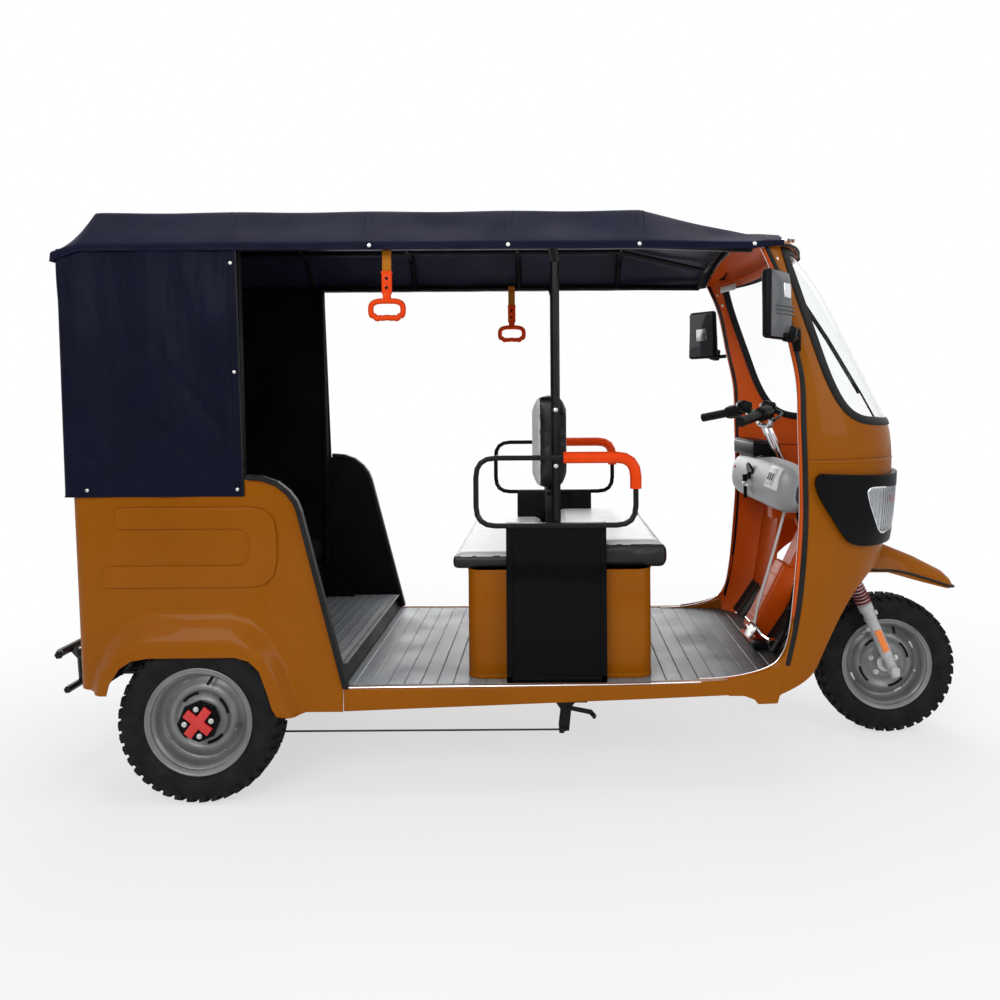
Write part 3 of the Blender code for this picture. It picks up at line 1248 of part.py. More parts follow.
def dash():
    """Pod between the cowl sides with a hollow round the stem."""
    pod = box(0.874, 1.080, -0.380, 0.380, DASH_LOW, 0.984, 0.030, 2)
    pod = applied(pod)
    room = rod(steer_at(0.55), steer_at(0.95), 0.070, 20)
    combine(pod, "DIFFERENCE", room)
    return finish(pod, "dash", SILVER, 40)


def brake_pedal():
    """Pedal pad on its arm, hinged at the toe of the floor."""
    arm = tube_path([(0.880, -0.150, 0.372), (0.845, -0.130, 0.395), (0.812, -0.115, 0.440)], 0.007, 8)
    pad = box(0.796, 0.822, -0.150, -0.080, 0.431, 0.437, 0.0015, 1)
    foot = box(0.862, 0.898, -0.166, -0.134, FLOOR_TOP + MAT_THICK + SEAT_GAP, 0.384, 0.003, 1)
    pad = applied(pad)
    pad.data.transform(Matrix.Translation((0.809, 0, 0.440)) @ Matrix.Rotation(math.radians(35), 4, "Y")
                       @ Matrix.Translation((-0.809, 0, -0.434)))
    combine(foot, "UNION", arm, pad)
    return finish(foot, "brake_pedal", CHROME)


MIRROR_HALF = 0.0725
MIRROR_TURN = math.radians(41)


def mirrors():
    """Tall housings on arms from the pillars; the near face of each looks back."""
    for side, sign in (("left", 1), ("right", -1)):
        head = box(-0.025, 0.025, -MIRROR_HALF, MIRROR_HALF, -0.105, 0.105, 0.016, 2)
        head = applied(head)
        turn = Matrix.Rotation(sign * MIRROR_TURN, 4, "Z")
        head.data.transform(Matrix.Translation((0.788, sign * 0.590, 1.537)) @ turn)
        arm = tube_path([(0.796, sign * 0.590, 1.450), (0.838, sign * 0.545, 1.438), (0.868, sign * 0.500, 1.440),
                         (0.876, sign * 0.4590, 1.440)], 0.008, 8)
        foot = box(0.868, 0.890, sign * 0.4577 - 0.004, sign * 0.4577 + 0.004, 1.405, 1.470, 0.002, 1)
        combine(head, "UNION", arm, foot)
        finish(head, "mirror_" + side, BLACK_PLASTIC, 40)


WIPER_BLADE = 0.0055


def nose_place(z, out, y=0.0):
    """Point standing square off the middle of the nose at one height."""
    nose = cowl_row(z)[2]
    slope = (cowl_row(z + 0.01)[2] - cowl_row(z - 0.01)[2]) / 0.02
    square = Vector((1.0, 0.0, -slope)).normalized()
    return Vector((nose, y, z)) + square * out


def wiper():
    """Arm and blade lying on the glass, on a spindle at its foot."""
    # columns: height, distance to the side
    places = [(1.640, 0.040), (1.468, 0.030), (1.262, 0.010), (1.150, 0.000)]
    blade_out = 0.0065 + SEAT_GAP + WIPER_BLADE
    arm = tube_path([nose_place(z, blade_out + 0.008, y) for z, y in places], 0.004, 6)
    blade = tube_path([nose_place(z, blade_out, y) for z, y in places[:3]], WIPER_BLADE, 6)
    spindle = rod(nose_place(1.150, SEAT_GAP), nose_place(1.150, blade_out + 0.013), 0.009, 10)
    combine(arm, "UNION", blade, spindle)
    return finish(arm, "wiper", BLACK_PLASTIC)


def rear_bumper():
    """Two cross bars on brackets behind the tail."""
    bar_x = BODY_REAR_X - 0.1324
    bumper = tube_path([(bar_x + 0.010, -0.350, 0.407), (bar_x, -0.330, 0.407), (bar_x, 0.330, 0.407),
                        (bar_x + 0.010, 0.350, 0.407)], 0.014, 6)
    lower = tube_path([(-1.540, -0.350, 0.290), (-1.540, 0.350, 0.290)], 0.012, 6)
    combine(bumper, "UNION", lower)
    for sign in (1, -1):
        upright = tube_path([(-1.540, sign * 0.260, 0.290), (-1.548, sign * 0.260, 0.400)], 0.011, 6)
        arm_z = REAR_RAIL_TOP - RAIL_HEIGHT - SEAT_GAP - 0.012 * math.cos(math.pi / 6)
        arm = tube_path([(bar_x, sign * 0.260, 0.407), (-1.500, sign * 0.260, arm_z), (-1.340, sign * 0.260, arm_z)],
                        0.012, 6)
        combine(bumper, "UNION", upright, arm)
    return finish(bumper, "rear_bumper", BLACK_PAINT)


def tail_lamps():
    for side, sign in (("left", 1), ("right", -1)):
        back = rear_x(0.720) - SEAT_GAP - 0.001
        y0, y1 = sorted((sign * 0.300, sign * 0.420))
        lamp = box(back - 0.026, back, y0, y1, 0.690, 0.755, 0.006, 2)
        finish(lamp, "tail_lamp_" + side, RED)


def brake_rod():
    """Thin rod from the middle lever back to the drum, under the floor."""
    y = -0.400
    low = 0.172
    lever = plate([(0.112, low - 0.008), (0.140, low - 0.008), (0.150, 0.262), (0.128, 0.262)], y - 0.004, y + 0.004)
    pull = tube_path([(AXLE_X_REAR + 0.058, y - 0.012, low), (0.126, y - 0.012, low)], 0.003, 6)
    link = rod((0.126, y - 0.016, low), (0.126, y, low), 0.006, 8)
    bracket = box(0.100, 0.200, y - 0.010, y + 0.010, 0.258, RAIL_TOP)
    combine(lever, "UNION", pull, link, bracket)
    return finish(lever, "brake_rod", BLACK_PAINT)


front_cowl()
windscreen()
header()
lamps()
dash()
brake_pedal()
mirrors()
wiper()
rear_bumper()
tail_lamps()
brake_rod()


# Moving pieces
# each has its origin on its own joint axis
PIVOTS = {"fork_yoke": AXIS_FOOT, "fork_legs": AXIS_FOOT, "handlebar": AXIS_FOOT, "grip_left": AXIS_FOOT,
          "grip_right": AXIS_FOOT, "front_mudguard": AXIS_FOOT}
for front_piece in ("tyre_front", "rim_front"):
    PIVOTS[front_piece] = Vector((AXLE_X_FRONT, 0.0, TYRE_RADIUS))
for side_name, side_sign in (("left", 1), ("right", -1)):
    for piece in ("tyre_rear_", "rim_rear_", "hub_cover_"):
        PIVOTS[piece + side_name] = Vector((AXLE_X_REAR, side_sign * WHEEL_Y, TYRE_RADIUS))


def set_origin(name, pivot):
    piece_obj = bpy.data.objects[name]
    piece_obj.data.transform(Matrix.Translation(-pivot))
    piece_obj.location = pivot


for piece_name, piece_pivot in PIVOTS.items():
    set_origin(piece_name, piece_pivot)
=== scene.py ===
# %% [markdown]
# The object is an electric passenger rickshaw. Its solids are already built, so this lesson starts by loading them as a
# fixed frame. Everything added later is placed in that frame.

# %% Load the frame
import bpy
import math
from mathutils import Vector, Matrix, noise


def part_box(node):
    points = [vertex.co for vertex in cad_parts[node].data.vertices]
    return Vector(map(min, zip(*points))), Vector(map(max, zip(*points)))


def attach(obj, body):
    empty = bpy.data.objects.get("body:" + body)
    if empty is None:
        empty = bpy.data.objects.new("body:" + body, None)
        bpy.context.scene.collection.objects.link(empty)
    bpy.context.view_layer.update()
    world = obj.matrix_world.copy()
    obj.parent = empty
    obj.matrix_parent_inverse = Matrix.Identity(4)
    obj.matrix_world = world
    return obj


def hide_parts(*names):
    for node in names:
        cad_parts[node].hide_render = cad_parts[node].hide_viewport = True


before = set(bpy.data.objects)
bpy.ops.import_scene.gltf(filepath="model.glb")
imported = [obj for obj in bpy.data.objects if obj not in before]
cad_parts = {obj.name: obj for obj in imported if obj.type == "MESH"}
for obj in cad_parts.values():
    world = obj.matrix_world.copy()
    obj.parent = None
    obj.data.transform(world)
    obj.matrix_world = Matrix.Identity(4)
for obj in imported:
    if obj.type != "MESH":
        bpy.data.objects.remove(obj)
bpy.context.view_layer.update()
print("nodes in the frame:", len(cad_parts))

# %% [markdown]
# Work by hand in Blender is: add a primitive, shape it in edit mode, finish it with modifiers.
# These helpers name those habits: keep one object selected, apply a modifier, shade it smoothly,
# and put the place of a piece into its mesh.

# %% Helpers for objects
def only(obj):
    if bpy.context.object and bpy.context.object.mode != "OBJECT":
        bpy.ops.object.mode_set(mode="OBJECT")
    bpy.ops.object.select_all(action="DESELECT")
    obj.select_set(True)
    bpy.context.view_layer.objects.active = obj


def named(name):
    obj = bpy.context.object
    obj.name = name
    obj.data.name = name
    return obj


def linked(name, data):
    obj = bpy.data.objects.new(name, data)
    bpy.context.scene.collection.objects.link(obj)
    return obj


def meshed(name, points, faces):
    mesh = bpy.data.meshes.new(name)
    mesh.from_pydata([tuple(place) for place in points], [], faces)
    return linked(name, mesh)


def settle(obj):
    only(obj)
    bpy.ops.object.transform_apply(location=True, rotation=True, scale=True)
    return obj


def modify(obj, kind, **settings):
    only(obj)
    mod = obj.modifiers.new(kind.title(), kind)
    for key, value in settings.items():
        setattr(mod, key, value)
    bpy.ops.object.modifier_apply(modifier=mod.name)
    return obj


def smooth(obj, angle=35):
    only(obj)
    bpy.ops.object.shade_smooth_by_angle(angle=math.radians(angle))
    return obj


def in_edit_mode(obj, *steps):
    """Run steps on everything that is selected in edit mode."""
    only(obj)
    bpy.ops.object.mode_set(mode="EDIT")
    bpy.ops.mesh.select_all(action="SELECT")
    for step in steps:
        step()
    bpy.ops.object.mode_set(mode="OBJECT")
    return obj


def weld():
    bpy.ops.mesh.remove_doubles(threshold=0.00002)


def face_out():
    bpy.ops.mesh.select_all(action="SELECT")
    bpy.ops.mesh.normals_make_consistent(inside=False)


def facing(obj, axis, sign=1):
    """Turn a sheet over if it looks the wrong way along an axis."""
    if sign * sum(face.normal[axis] * face.area for face in obj.data.polygons) < 0:
        obj.data.flip_normals()
    return obj


def painted(obj, *looks):
    """The first look is the outside's, the second one the inside's."""
    obj.data.materials.clear()
    for look in looks:
        obj.data.materials.append(look)
    return obj


def joined(name, *objs):
    only(objs[0])
    for other in objs[1:]:
        other.select_set(True)
    bpy.ops.object.join()
    return named(name)


def moved(obj, name, matrix):
    """A copy with its own mesh, carried by a matrix; a mirrored one has its faces turned back."""
    twin = linked(name, obj.data.copy())
    only(twin)
    twin.name = name
    twin.data.name = name
    twin.data.transform(matrix)
    if matrix.determinant() < 0:
        twin.data.flip_normals()
    return twin


MIRROR_Y = Matrix.Diagonal((1, -1, 1, 1))


def both_sides(obj):
    """The same piece on the other side, joined to it."""
    return joined(obj.name, obj, moved(obj, obj.name, MIRROR_Y))


# %% [markdown]
# The next helpers make the usual shapes: bevelled blocks, turned discs, bent tubes, spun sections,
# and flat outlines pushed out to a thickness.

# %% Helpers for shapes
def block(name, centre, size, bevel=0.0, turn=0, segments=2):
    """A bar or plate from a cube with bevelled edges; turn is in degrees about Y, or three angles."""
    turn = turn if isinstance(turn, tuple) else (0, math.radians(turn), 0)
    bpy.ops.object.select_all(action="DESELECT")
    bpy.ops.mesh.primitive_cube_add(size=1, location=centre, rotation=turn)
    obj = named(name)
    obj.scale = size
    settle(obj)
    if bevel:
        modify(obj, "BEVEL", width=bevel, segments=segments)
    return smooth(obj)


def disc(name, start, end, radius, sides=32, bevel=0.0, top=None):
    """A turned piece between two points; its rims get a bevel, its end can be narrower."""
    start, end = Vector(start), Vector(end)
    run = end - start
    bpy.ops.object.select_all(action="DESELECT")
    bpy.ops.mesh.primitive_cone_add(vertices=sides, radius1=radius, radius2=radius if top is None else top,
                                    depth=run.length, location=(start + end) / 2,
                                    rotation=run.to_track_quat("Z", "Y").to_euler())
    obj = settle(named(name))
    if bevel:
        modify(obj, "BEVEL", width=bevel, segments=2, angle_limit=math.radians(50))
    return smooth(obj, 40)


def tube(name, points, radius, sides=12, cyclic=False):
    """A bent tube: a curve with a round bevel, turned into a mesh."""
    curve = bpy.data.curves.new(name, "CURVE")
    curve.dimensions = "3D"
    curve.bevel_depth = radius
    curve.bevel_resolution = max(1, sides // 4 - 1)
    curve.use_fill_caps = True
    curve.resolution_u = 6
    spline = curve.splines.new("NURBS")
    spline.points.add(len(points) - 1)
    for place, slot in zip(points, spline.points):
        slot.co = (*place, 1.0)
    spline.use_cyclic_u = cyclic
    spline.order_u = 3
    spline.use_endpoint_u = not cyclic
    only(linked(name, curve))
    bpy.ops.object.convert(target="MESH")
    return smooth(named(name), 50)


def drawn(name, points, closed=False):
    """A line drawn point by point by extruding one vertex."""
    bpy.ops.object.select_all(action="DESELECT")
    bpy.ops.mesh.primitive_plane_add(size=0.001, location=points[0])
    obj = settle(named(name))
    bpy.ops.object.mode_set(mode="EDIT")
    bpy.ops.mesh.select_mode(type="VERT")
    bpy.ops.mesh.select_all(action="SELECT")
    bpy.ops.mesh.merge(type="CENTER")
    before = Vector(points[0])
    for place in points[1:]:
        step = Vector(place) - before
        bpy.ops.mesh.extrude_region_move(TRANSFORM_OT_translate={"value": step})
        before = Vector(place)
    if closed:
        bpy.ops.mesh.select_all(action="SELECT")
        bpy.ops.mesh.edge_face_add()
    bpy.ops.object.mode_set(mode="OBJECT")
    return obj


def spun(name, points, steps, angle):
    """A section spun once round the Y axis, closed at its poles and facing outwards."""
    obj = in_edit_mode(drawn(name, points), lambda: bpy.ops.mesh.spin(
        steps=steps, angle=2 * math.pi, center=(0, 0, 0), axis=(0, 1, 0)))
    return smooth(in_edit_mode(obj, weld, face_out), angle)


def slab(name, outline, push, bevel):
    """A flat outline, filled and pushed out along a vector."""
    obj = in_edit_mode(drawn(name, outline, closed=True), lambda: bpy.ops.mesh.extrude_region_move(
        TRANSFORM_OT_translate={"value": push}), face_out)
    return smooth(modify(obj, "BEVEL", width=bevel, segments=2, angle_limit=math.radians(40)))


# %% [markdown]
# Finishes, the floor and the world are node trees. These helpers make one, add a node to it and
# wire its sockets. The constants of a finish stand on the shader's own sockets.

# %% Helpers for node trees
def shader_of(look):
    return look.node_tree.nodes["Principled BSDF"]


def node(look, kind, **values):
    """A shader node; each value goes to the setting of that name, or else to the socket."""
    made = look.node_tree.nodes.new("ShaderNode" + kind)
    for key, value in values.items():
        if hasattr(made, key):
            setattr(made, key, value)
        else:
            made.inputs[key.replace("_", " ")].default_value = value
    return made


def wire(look, *links):
    for source, out, target, into in links:
        look.node_tree.links.new(source.outputs[out], target.inputs[into])


def finish_of(name, colour, rough, metallic=0.0, coat=0.0, coat_rough=0.05, specular=0.5):
    look = bpy.data.materials.new(name)
    look.use_nodes = True
    values = {"Base Color": (*colour, 1), "Roughness": rough, "Metallic": metallic, "Coat Weight": coat,
              "Coat Roughness": coat_rough, "Specular IOR Level": specular}
    for key, value in values.items():
        shader_of(look).inputs[key].default_value = value
    look.diffuse_color = (*colour, 1)
    return look


AXLE_FRONT = Vector((1.334, 0.0, 0.256))
AXLE_REAR = Vector((-1.016, 0.0, 0.256))
WHEEL_Y = 0.4975
FORK_FOOT = Vector((1.285, 0, 0.256))
FORK_UP = Vector((-0.3955, 0, 0.9185))
FORK_FORE = Vector((0.9185, 0, 0.3955))

# %% [markdown]
# The camera stands where the photographer stood: level with the roof edge's lower third, three metres
# from the middle of the vehicle. Shift puts the frame where the photograph has it.

# %% Camera
lens_eye = bpy.data.cameras.new("camera")
lens_eye.lens = 28.8
lens_eye.sensor_width = 36
lens_eye.shift_x = -0.049
lens_eye.shift_y = -0.1
camera = linked("camera", lens_eye)
camera.location = (0.081, -3.03, 1.25)
camera.rotation_euler = (math.radians(90), math.radians(0.4), 0)
bpy.context.scene.camera = camera
bpy.context.scene.view_settings.view_transform = "Standard"
print("camera at", tuple(camera.location))

# %% [markdown]
# A white studio: a pale floor that keeps a soft shadow near the object and fades to white, and a
# world that is white only to the camera, to mirrors and through glass.

# %% Floor and world
bpy.ops.object.select_all(action="DESELECT")
bpy.ops.mesh.primitive_circle_add(vertices=96, radius=30, fill_type="NGON", location=(0, 0, -0.0005))
floor = settle(named("studio_floor"))
stone = finish_of("studio floor", (0.93, 0.93, 0.93), 0.9, specular=0.1)
glow = node(stone, "Emission", Color=(1, 1, 1, 1), Strength=1.0)
blend_in = node(stone, "MixShader")
ray = node(stone, "LightPath")
far = node(stone, "VectorMath", operation="LENGTH")
fade = node(stone, "MapRange", interpolation_type="SMOOTHSTEP", From_Min=1.4, From_Max=3.4, To_Min=0.62,
            To_Max=1.0)
half = node(stone, "Math", operation="MULTIPLY")
wire(stone, (node(stone, "TexCoord"), "Object", far, 0), (far, "Value", fade, "Value"),
     (fade, "Result", half, 1), (ray, "Is Camera Ray", half, 0), (half, 0, blend_in, 0),
     (shader_of(stone), 0, blend_in, 1), (glow, 0, blend_in, 2),
     (blend_in, 0, stone.node_tree.nodes["Material Output"], 0))
floor.data.materials.append(stone)

world = bpy.data.worlds.new("studio")
bpy.context.scene.world = world
world.use_nodes = True
world.node_tree.nodes.clear()
seen = node(world, "Background", Color=(1, 1, 1, 1), Strength=1.0)
fill = node(world, "Background", Color=(0.93, 0.96, 1, 1), Strength=0.36)
which = node(world, "MixShader")
ray = node(world, "LightPath")
first = node(world, "Math", operation="MAXIMUM")
second = node(world, "Math", operation="MAXIMUM")
wire(world, (ray, "Is Camera Ray", first, 0), (ray, "Is Glossy Ray", first, 1), (first, 0, second, 0),
     (ray, "Is Transmission Ray", second, 1), (second, 0, which, 0), (fill, 0, which, 1),
     (seen, 0, which, 2), (which, 0, node(world, "OutputWorld"), 0))

# %% [markdown]
# The light on the object comes from four large soft lamps.

# %% Lamps
for name, place, aim, size, power in (("key", (-1.8, -5.2, 3.6), (0, 0, 0.9), (4.0, 2.4), 136),
                                      ("side", (3.9, -3.6, 2.6), (0.6, 0, 0.8), (2.2, 3.0), 56),
                                      ("top", (0.0, 0.4, 4.6), (0, 0, 0), (4.5, 3.0), 100),
                                      ("back", (-0.5, 5.0, 2.4), (0, 0, 1.0), (4.5, 2.5), 90)):
    data = bpy.data.lights.new(name, "AREA")
    data.shape = "RECTANGLE"
    data.size, data.size_y = size
    data.energy = power
    lamp = linked(name, data)
    lamp.location = place
    lamp.rotation_euler = (Vector(aim) - Vector(place)).to_track_quat("-Z", "Y").to_euler()

# %% [markdown]
# Every finish is built from nodes. One call makes the base and up to three patterns: in the colour,
# in the relief (the grain of the surface) and in the gloss (wiped places shine, dusty ones don't).

# %% Patterns for finishes
def place_of(look, scale=(1, 1, 1), turn=(0, 0, 0)):
    mapping = node(look, "Mapping", Scale=scale, Rotation=turn)
    wire(look, (node(look, "TexCoord"), "Object", mapping, "Vector"))
    return mapping


def patterned(look, kind, stretch=(1, 1, 1), turn=(0, 0, 0), **values):
    """A texture in the object's own space."""
    made = node(look, kind, **values)
    wire(look, (place_of(look, stretch, turn), "Vector", made, "Vector"))
    return made


def cloudy(look, scale, detail=4.0, stretch=(1, 1, 1)):
    return patterned(look, "TexNoise", stretch, Scale=scale, Detail=detail, Roughness=0.55)


def coloured(look, scale, low, high, first, last, stretch=(1, 1, 1)):
    """Colour between two tones, from one value of the pattern to another."""
    ramp = node(look, "ValToRGB")
    for stop, position, tone in zip(ramp.color_ramp.elements, (low, high), (first, last)):
        stop.position = position
        stop.color = (*tone, 1)
    wire(look, (cloudy(look, scale, 4.0, stretch), "Fac", ramp, "Fac"),
         (ramp, "Color", shader_of(look), "Base Color"))


def grained(look, source, out, strength, distance):
    bump = node(look, "Bump", Strength=strength, Distance=distance)
    wire(look, (source, out, bump, "Height"), (bump, "Normal", shader_of(look), "Normal"))
    return bump


def finish(name, colour, rough, tones=(), grain=(), gloss=(), **shader):
    look = finish_of(name, colour, rough, **shader)
    if tones:
        coloured(look, *tones)
    if grain:
        strength, distance, *cloud = grain
        grained(look, cloudy(look, *cloud), "Fac", strength, distance)
    if gloss:
        scale, low, high = gloss
        mapped = node(look, "MapRange", From_Min=0.3, From_Max=0.7, To_Min=low, To_Max=high)
        wire(look, (cloudy(look, scale), "Fac", mapped, "Value"),
             (mapped, "Result", shader_of(look), "Roughness"))
    return look


# %% [markdown]
# The ochre panels are glossy enamel over steel: a deep base, a clear coat, the faint ripple of
# sprayed paint, and duller, dustier patches. Frame tubes and side plates are black enamel.

# %% Paints, plastics and rubber
ochre = finish("ochre enamel", (0.3, 0.088, 0.0006), 0.38,
               (2.2, 0.25, 0.8, (0.265, 0.074, 0.0008), (0.325, 0.098, 0.0012)),
               (0.045, 0.002, 190, 2.0), (7, 0.26, 0.42), coat=0.11, specular=0.05)
# A redder copy of the ochre for the faces inside the cowl and in the footwell: it is painted shade.
ochre_shaded = finish("ochre enamel with painted shade", (0.52, 0.115, 0.003), 0.42,
                      (3.0, 0.25, 0.8, (0.54, 0.07, 0.001), (0.7, 0.1, 0.0015)),
                      (0.06, 0.002, 160, 2.0), coat=0.08, coat_rough=0.15, specular=0.22)
black_tube = finish("black enamel", (0.006, 0.006, 0.007), 0.3,
                    (9, 0.3, 0.8, (0.004, 0.004, 0.005), (0.01, 0.01, 0.011)),
                    (0.05, 0.0015, 240, 2.0), (12, 0.22, 0.42), coat=0.06, coat_rough=0.1, specular=0.16)
black_plate = finish("glossy black plate", (0.003, 0.003, 0.0035), 0.16,
                     grain=(0.22, 0.02, 5.5, 3.0, (1, 1, 0.7)), coat=0.06, coat_rough=0.04, specular=0.04)
moulded = finish("black moulded plastic", (0.005, 0.005, 0.0055), 0.3,
                 (6, 0.3, 0.8, (0.004, 0.004, 0.005), (0.009, 0.009, 0.01)), (0.12, 0.001, 520, 3.0),
                 specular=0.05)
lining = finish("black lining board", (0.004, 0.004, 0.005), 0.5,
                (4, 0.3, 0.8, (0.003, 0.003, 0.004), (0.008, 0.008, 0.009)), (0.15, 0.0015, 300, 3.0),
                (5, 0.36, 0.6), specular=0.12)
rubber = finish("black rubber", (0.007, 0.007, 0.007), 0.5,
                (14, 0.3, 0.8, (0.004, 0.004, 0.004), (0.012, 0.012, 0.011)), (0.12, 0.001, 420, 3.0),
                specular=0.2)
tread = finish("tyre rubber", (0.008, 0.008, 0.008), 0.65,
               (18, 0.35, 0.85, (0.004, 0.004, 0.004), (0.017, 0.016, 0.015)), (0.22, 0.0016, 260, 4.0),
               specular=0.14)
mat_grey = finish("ribbed floor rubber", (0.16, 0.16, 0.16), 0.5,
                  (7, 0.25, 0.85, (0.2, 0.215, 0.23), (0.38, 0.4, 0.42), (1, 0.35, 1)),
                  (0.2, 0.0015, 330, 3.0), (5, 0.34, 0.58))
step_edge = finish("pale step strip", (0.3, 0.3, 0.3), 0.5,
                   (16, 0.3, 0.8, (0.22, 0.22, 0.22), (0.4, 0.4, 0.4)), (0.15, 0.001, 300, 2.0))

# %% [markdown]
# The floor mat is darker towards the front, where it lies in the shade of the cowl.

# %% Shade on the mat
base = shader_of(mat_grey).inputs["Base Color"]
worn = base.links[0].from_socket
split = node(mat_grey, "SeparateXYZ")
share = node(mat_grey, "MapRange", From_Min=0.35, From_Max=0.8)
darker = node(mat_grey, "Mix", data_type="RGBA")
darker.inputs[7].default_value = (0.022, 0.022, 0.024, 1)
wire(mat_grey, (place_of(mat_grey), "Vector", split, "Vector"), (split, "X", share, "Value"),
     (share, "Result", darker, 0), (darker, 2, shader_of(mat_grey), "Base Color"))
mat_grey.node_tree.links.new(worn, darker.inputs[6])
print("paints and rubbers:", len(bpy.data.materials))

# %% [markdown]
# The roof and the side curtain are navy coated cloth with a soft gloss. The weave is two crossed
# sets of stretched noise threads, in the bump only; the curtain has slanting folds under it.

# %% Coated cloth and seat covers
def woven(look, pitch, strength, distance):
    both = node(look, "Math", operation="ADD")
    creased = node(look, "Math", operation="MULTIPLY_ADD")
    creased.inputs[1].default_value = 7.0
    wire(look, (cloudy(look, 1 / pitch, 1.0, (0.1, 0.1, 1)), "Fac", both, 0),
         (cloudy(look, 1 / pitch, 1.0, (1, 1, 0.1)), "Fac", both, 1),
         (cloudy(look, 9, 5.0, (1, 1, 0.6)), "Fac", creased, 0), (both, "Value", creased, 2))
    return grained(look, creased, "Value", strength, distance)


navy = finish("navy coated cloth", (0.004, 0.005, 0.012), 0.38,
              (5, 0.25, 0.85, (0.0028, 0.0032, 0.011), (0.0056, 0.0064, 0.02)), gloss=(6, 0.38, 0.56),
              specular=0.06)
weave = woven(navy, 0.0014, 0.1, 0.0011)
slant = patterned(navy, "TexNoise", (2.4, 0.8, 0.55), (0, math.radians(36), 0), Scale=3.0, Detail=2.5)
hanging = node(navy, "Bump", Strength=0.75, Distance=0.06)
wire(navy, (slant, "Fac", hanging, "Height"), (hanging, "Normal", weave, "Normal"))
navy_roof = finish("navy roof cloth", (0.004, 0.005, 0.02), 0.44,
                   (5, 0.25, 0.85, (0.0034, 0.004, 0.015), (0.0066, 0.0076, 0.027)),
                   gloss=(6, 0.42, 0.6), specular=0.07)
woven(navy_roof, 0.0014, 0.1, 0.0011)
# The underside is paler than the navy above it: a painted sheen.
navy_under_sheen = finish("roof cloth underside with painted sheen", (0.02, 0.022, 0.045), 0.42,
                    (7, 0.3, 0.8, (0.01, 0.011, 0.026), (0.026, 0.028, 0.056)), specular=0.35)
woven(navy_under_sheen, 0.0014, 0.12, 0.0011)
vinyl = finish("black seat vinyl", (0.007, 0.007, 0.008), 0.3,
               (6, 0.3, 0.8, (0.005, 0.005, 0.006), (0.011, 0.011, 0.012)), specular=0.3)
# Pale grey vinyl for the seat faces that look up or back; it also paints the glare on them.
pale_vinyl_glare = finish("pale grey seat vinyl with painted glare", (0.62, 0.63, 0.64), 0.34,
                    (5, 0.3, 0.8, (0.56, 0.57, 0.58), (0.72, 0.73, 0.74)))
for look, strength, distance in ((vinyl, 0.35, 0.0012), (pale_vinyl_glare, 0.3, 0.001)):
    cells = patterned(look, "TexVoronoi", feature="DISTANCE_TO_EDGE", Scale=420)
    grained(look, cells, "Distance", strength, distance)

# %% [markdown]
# Bright parts: painted steel rims in dull silver, chromed tubes, zinc screws, aluminium strips,
# and the glass and lens plastics.

# %% Metals, glass and lenses
silver = finish("silver wheel paint", (0.28, 0.285, 0.29), 0.4,
                (11, 0.3, 0.8, (0.135, 0.14, 0.138), (0.24, 0.245, 0.242)), (0.12, 0.001, 380, 3.0),
                (14, 0.28, 0.46), metallic=0.25, coat=0.1)
dash_grey = finish("silver-grey dash plastic", (0.33, 0.34, 0.35), 0.42,
                   (4, 0.3, 0.8, (0.29, 0.3, 0.31), (0.38, 0.39, 0.4)), (0.1, 0.0008, 600, 2.0),
                   metallic=0.15)
chrome = finish("chrome", (0.78, 0.78, 0.8), 0.1, gloss=(25, 0.06, 0.2), metallic=1.0)
zinc = finish("zinc screw", (0.62, 0.62, 0.6), 0.3, grain=(0.1, 0.0004, 900, 2.0), metallic=0.9)
bright_strip = finish("bright strip", (0.72, 0.73, 0.74), 0.22, grain=(0.1, 0.0006, 300, 2.0, (0.05, 1, 1)),
                      metallic=0.9)
fork_grey = finish("pale grey fork paint", (0.5, 0.51, 0.52), 0.34,
                   (16, 0.3, 0.8, (0.42, 0.43, 0.44), (0.58, 0.59, 0.6)), coat=0.3)
cover_orange = finish("orange-red plastic", (0.86, 0.06, 0.002), 0.42,
                      (9, 0.3, 0.8, (0.76, 0.048, 0.002), (0.9, 0.072, 0.003)), (0.08, 0.0008, 380, 2.0),
                      coat=0.02, specular=0.1)
strap_ochre = finish("ochre webbing", (0.46, 0.15, 0.004), 0.6, specular=0.2)
woven(strap_ochre, 0.0016, 0.5, 0.0008)
red_paint = finish("red cross paint", (0.62, 0.016, 0.012), 0.35, grain=(0.1, 0.0008, 300, 2.0), coat=0.3)
red_lens = finish("red lens", (0.55, 0.012, 0.01), 0.12, grain=(0.06, 0.002, 60, 1.0), coat=1.0)
gaiter_red = finish("dark red gaiter", (0.16, 0.01, 0.012), 0.5,
                    (30, 0.3, 0.8, (0.1, 0.006, 0.008), (0.22, 0.014, 0.016)), specular=0.2)
amber = finish("orange reflector", (0.95, 0.22, 0.01), 0.18, coat=0.8)
grained(amber, patterned(amber, "TexWave", Scale=90), "Fac", 0.4, 0.0008)
white_plastic = finish("white plastic", (0.75, 0.75, 0.74), 0.4, grain=(0.06, 0.0006, 300, 2.0))
glass = finish("windscreen glass", (0.93, 0.96, 0.96), 0.02,
               (3, 0.2, 0.9, (0.965, 0.98, 0.985), (0.985, 0.992, 0.995)))
lens = finish("fluted lamp lens", (0.92, 0.94, 0.95), 0.04)
grained(lens, patterned(lens, "TexWave", bands_direction="Y", Scale=26), "Fac", 0.25, 0.002)
for look, bending in ((glass, 1.04), (lens, 1.3)):
    shader_of(look).inputs["Transmission Weight"].default_value = 1.0
    shader_of(look).inputs["IOR"].default_value = bending
mirror_grey = finish("grey mirror back", (0.1, 0.105, 0.11), 0.4, grain=(0.1, 0.001, 500, 2.0), specular=0.3)
mirror_dark = finish("dark mirror glass", (0.05, 0.052, 0.058), 0.06, grain=(0.02, 0.001, 6, 1.0))
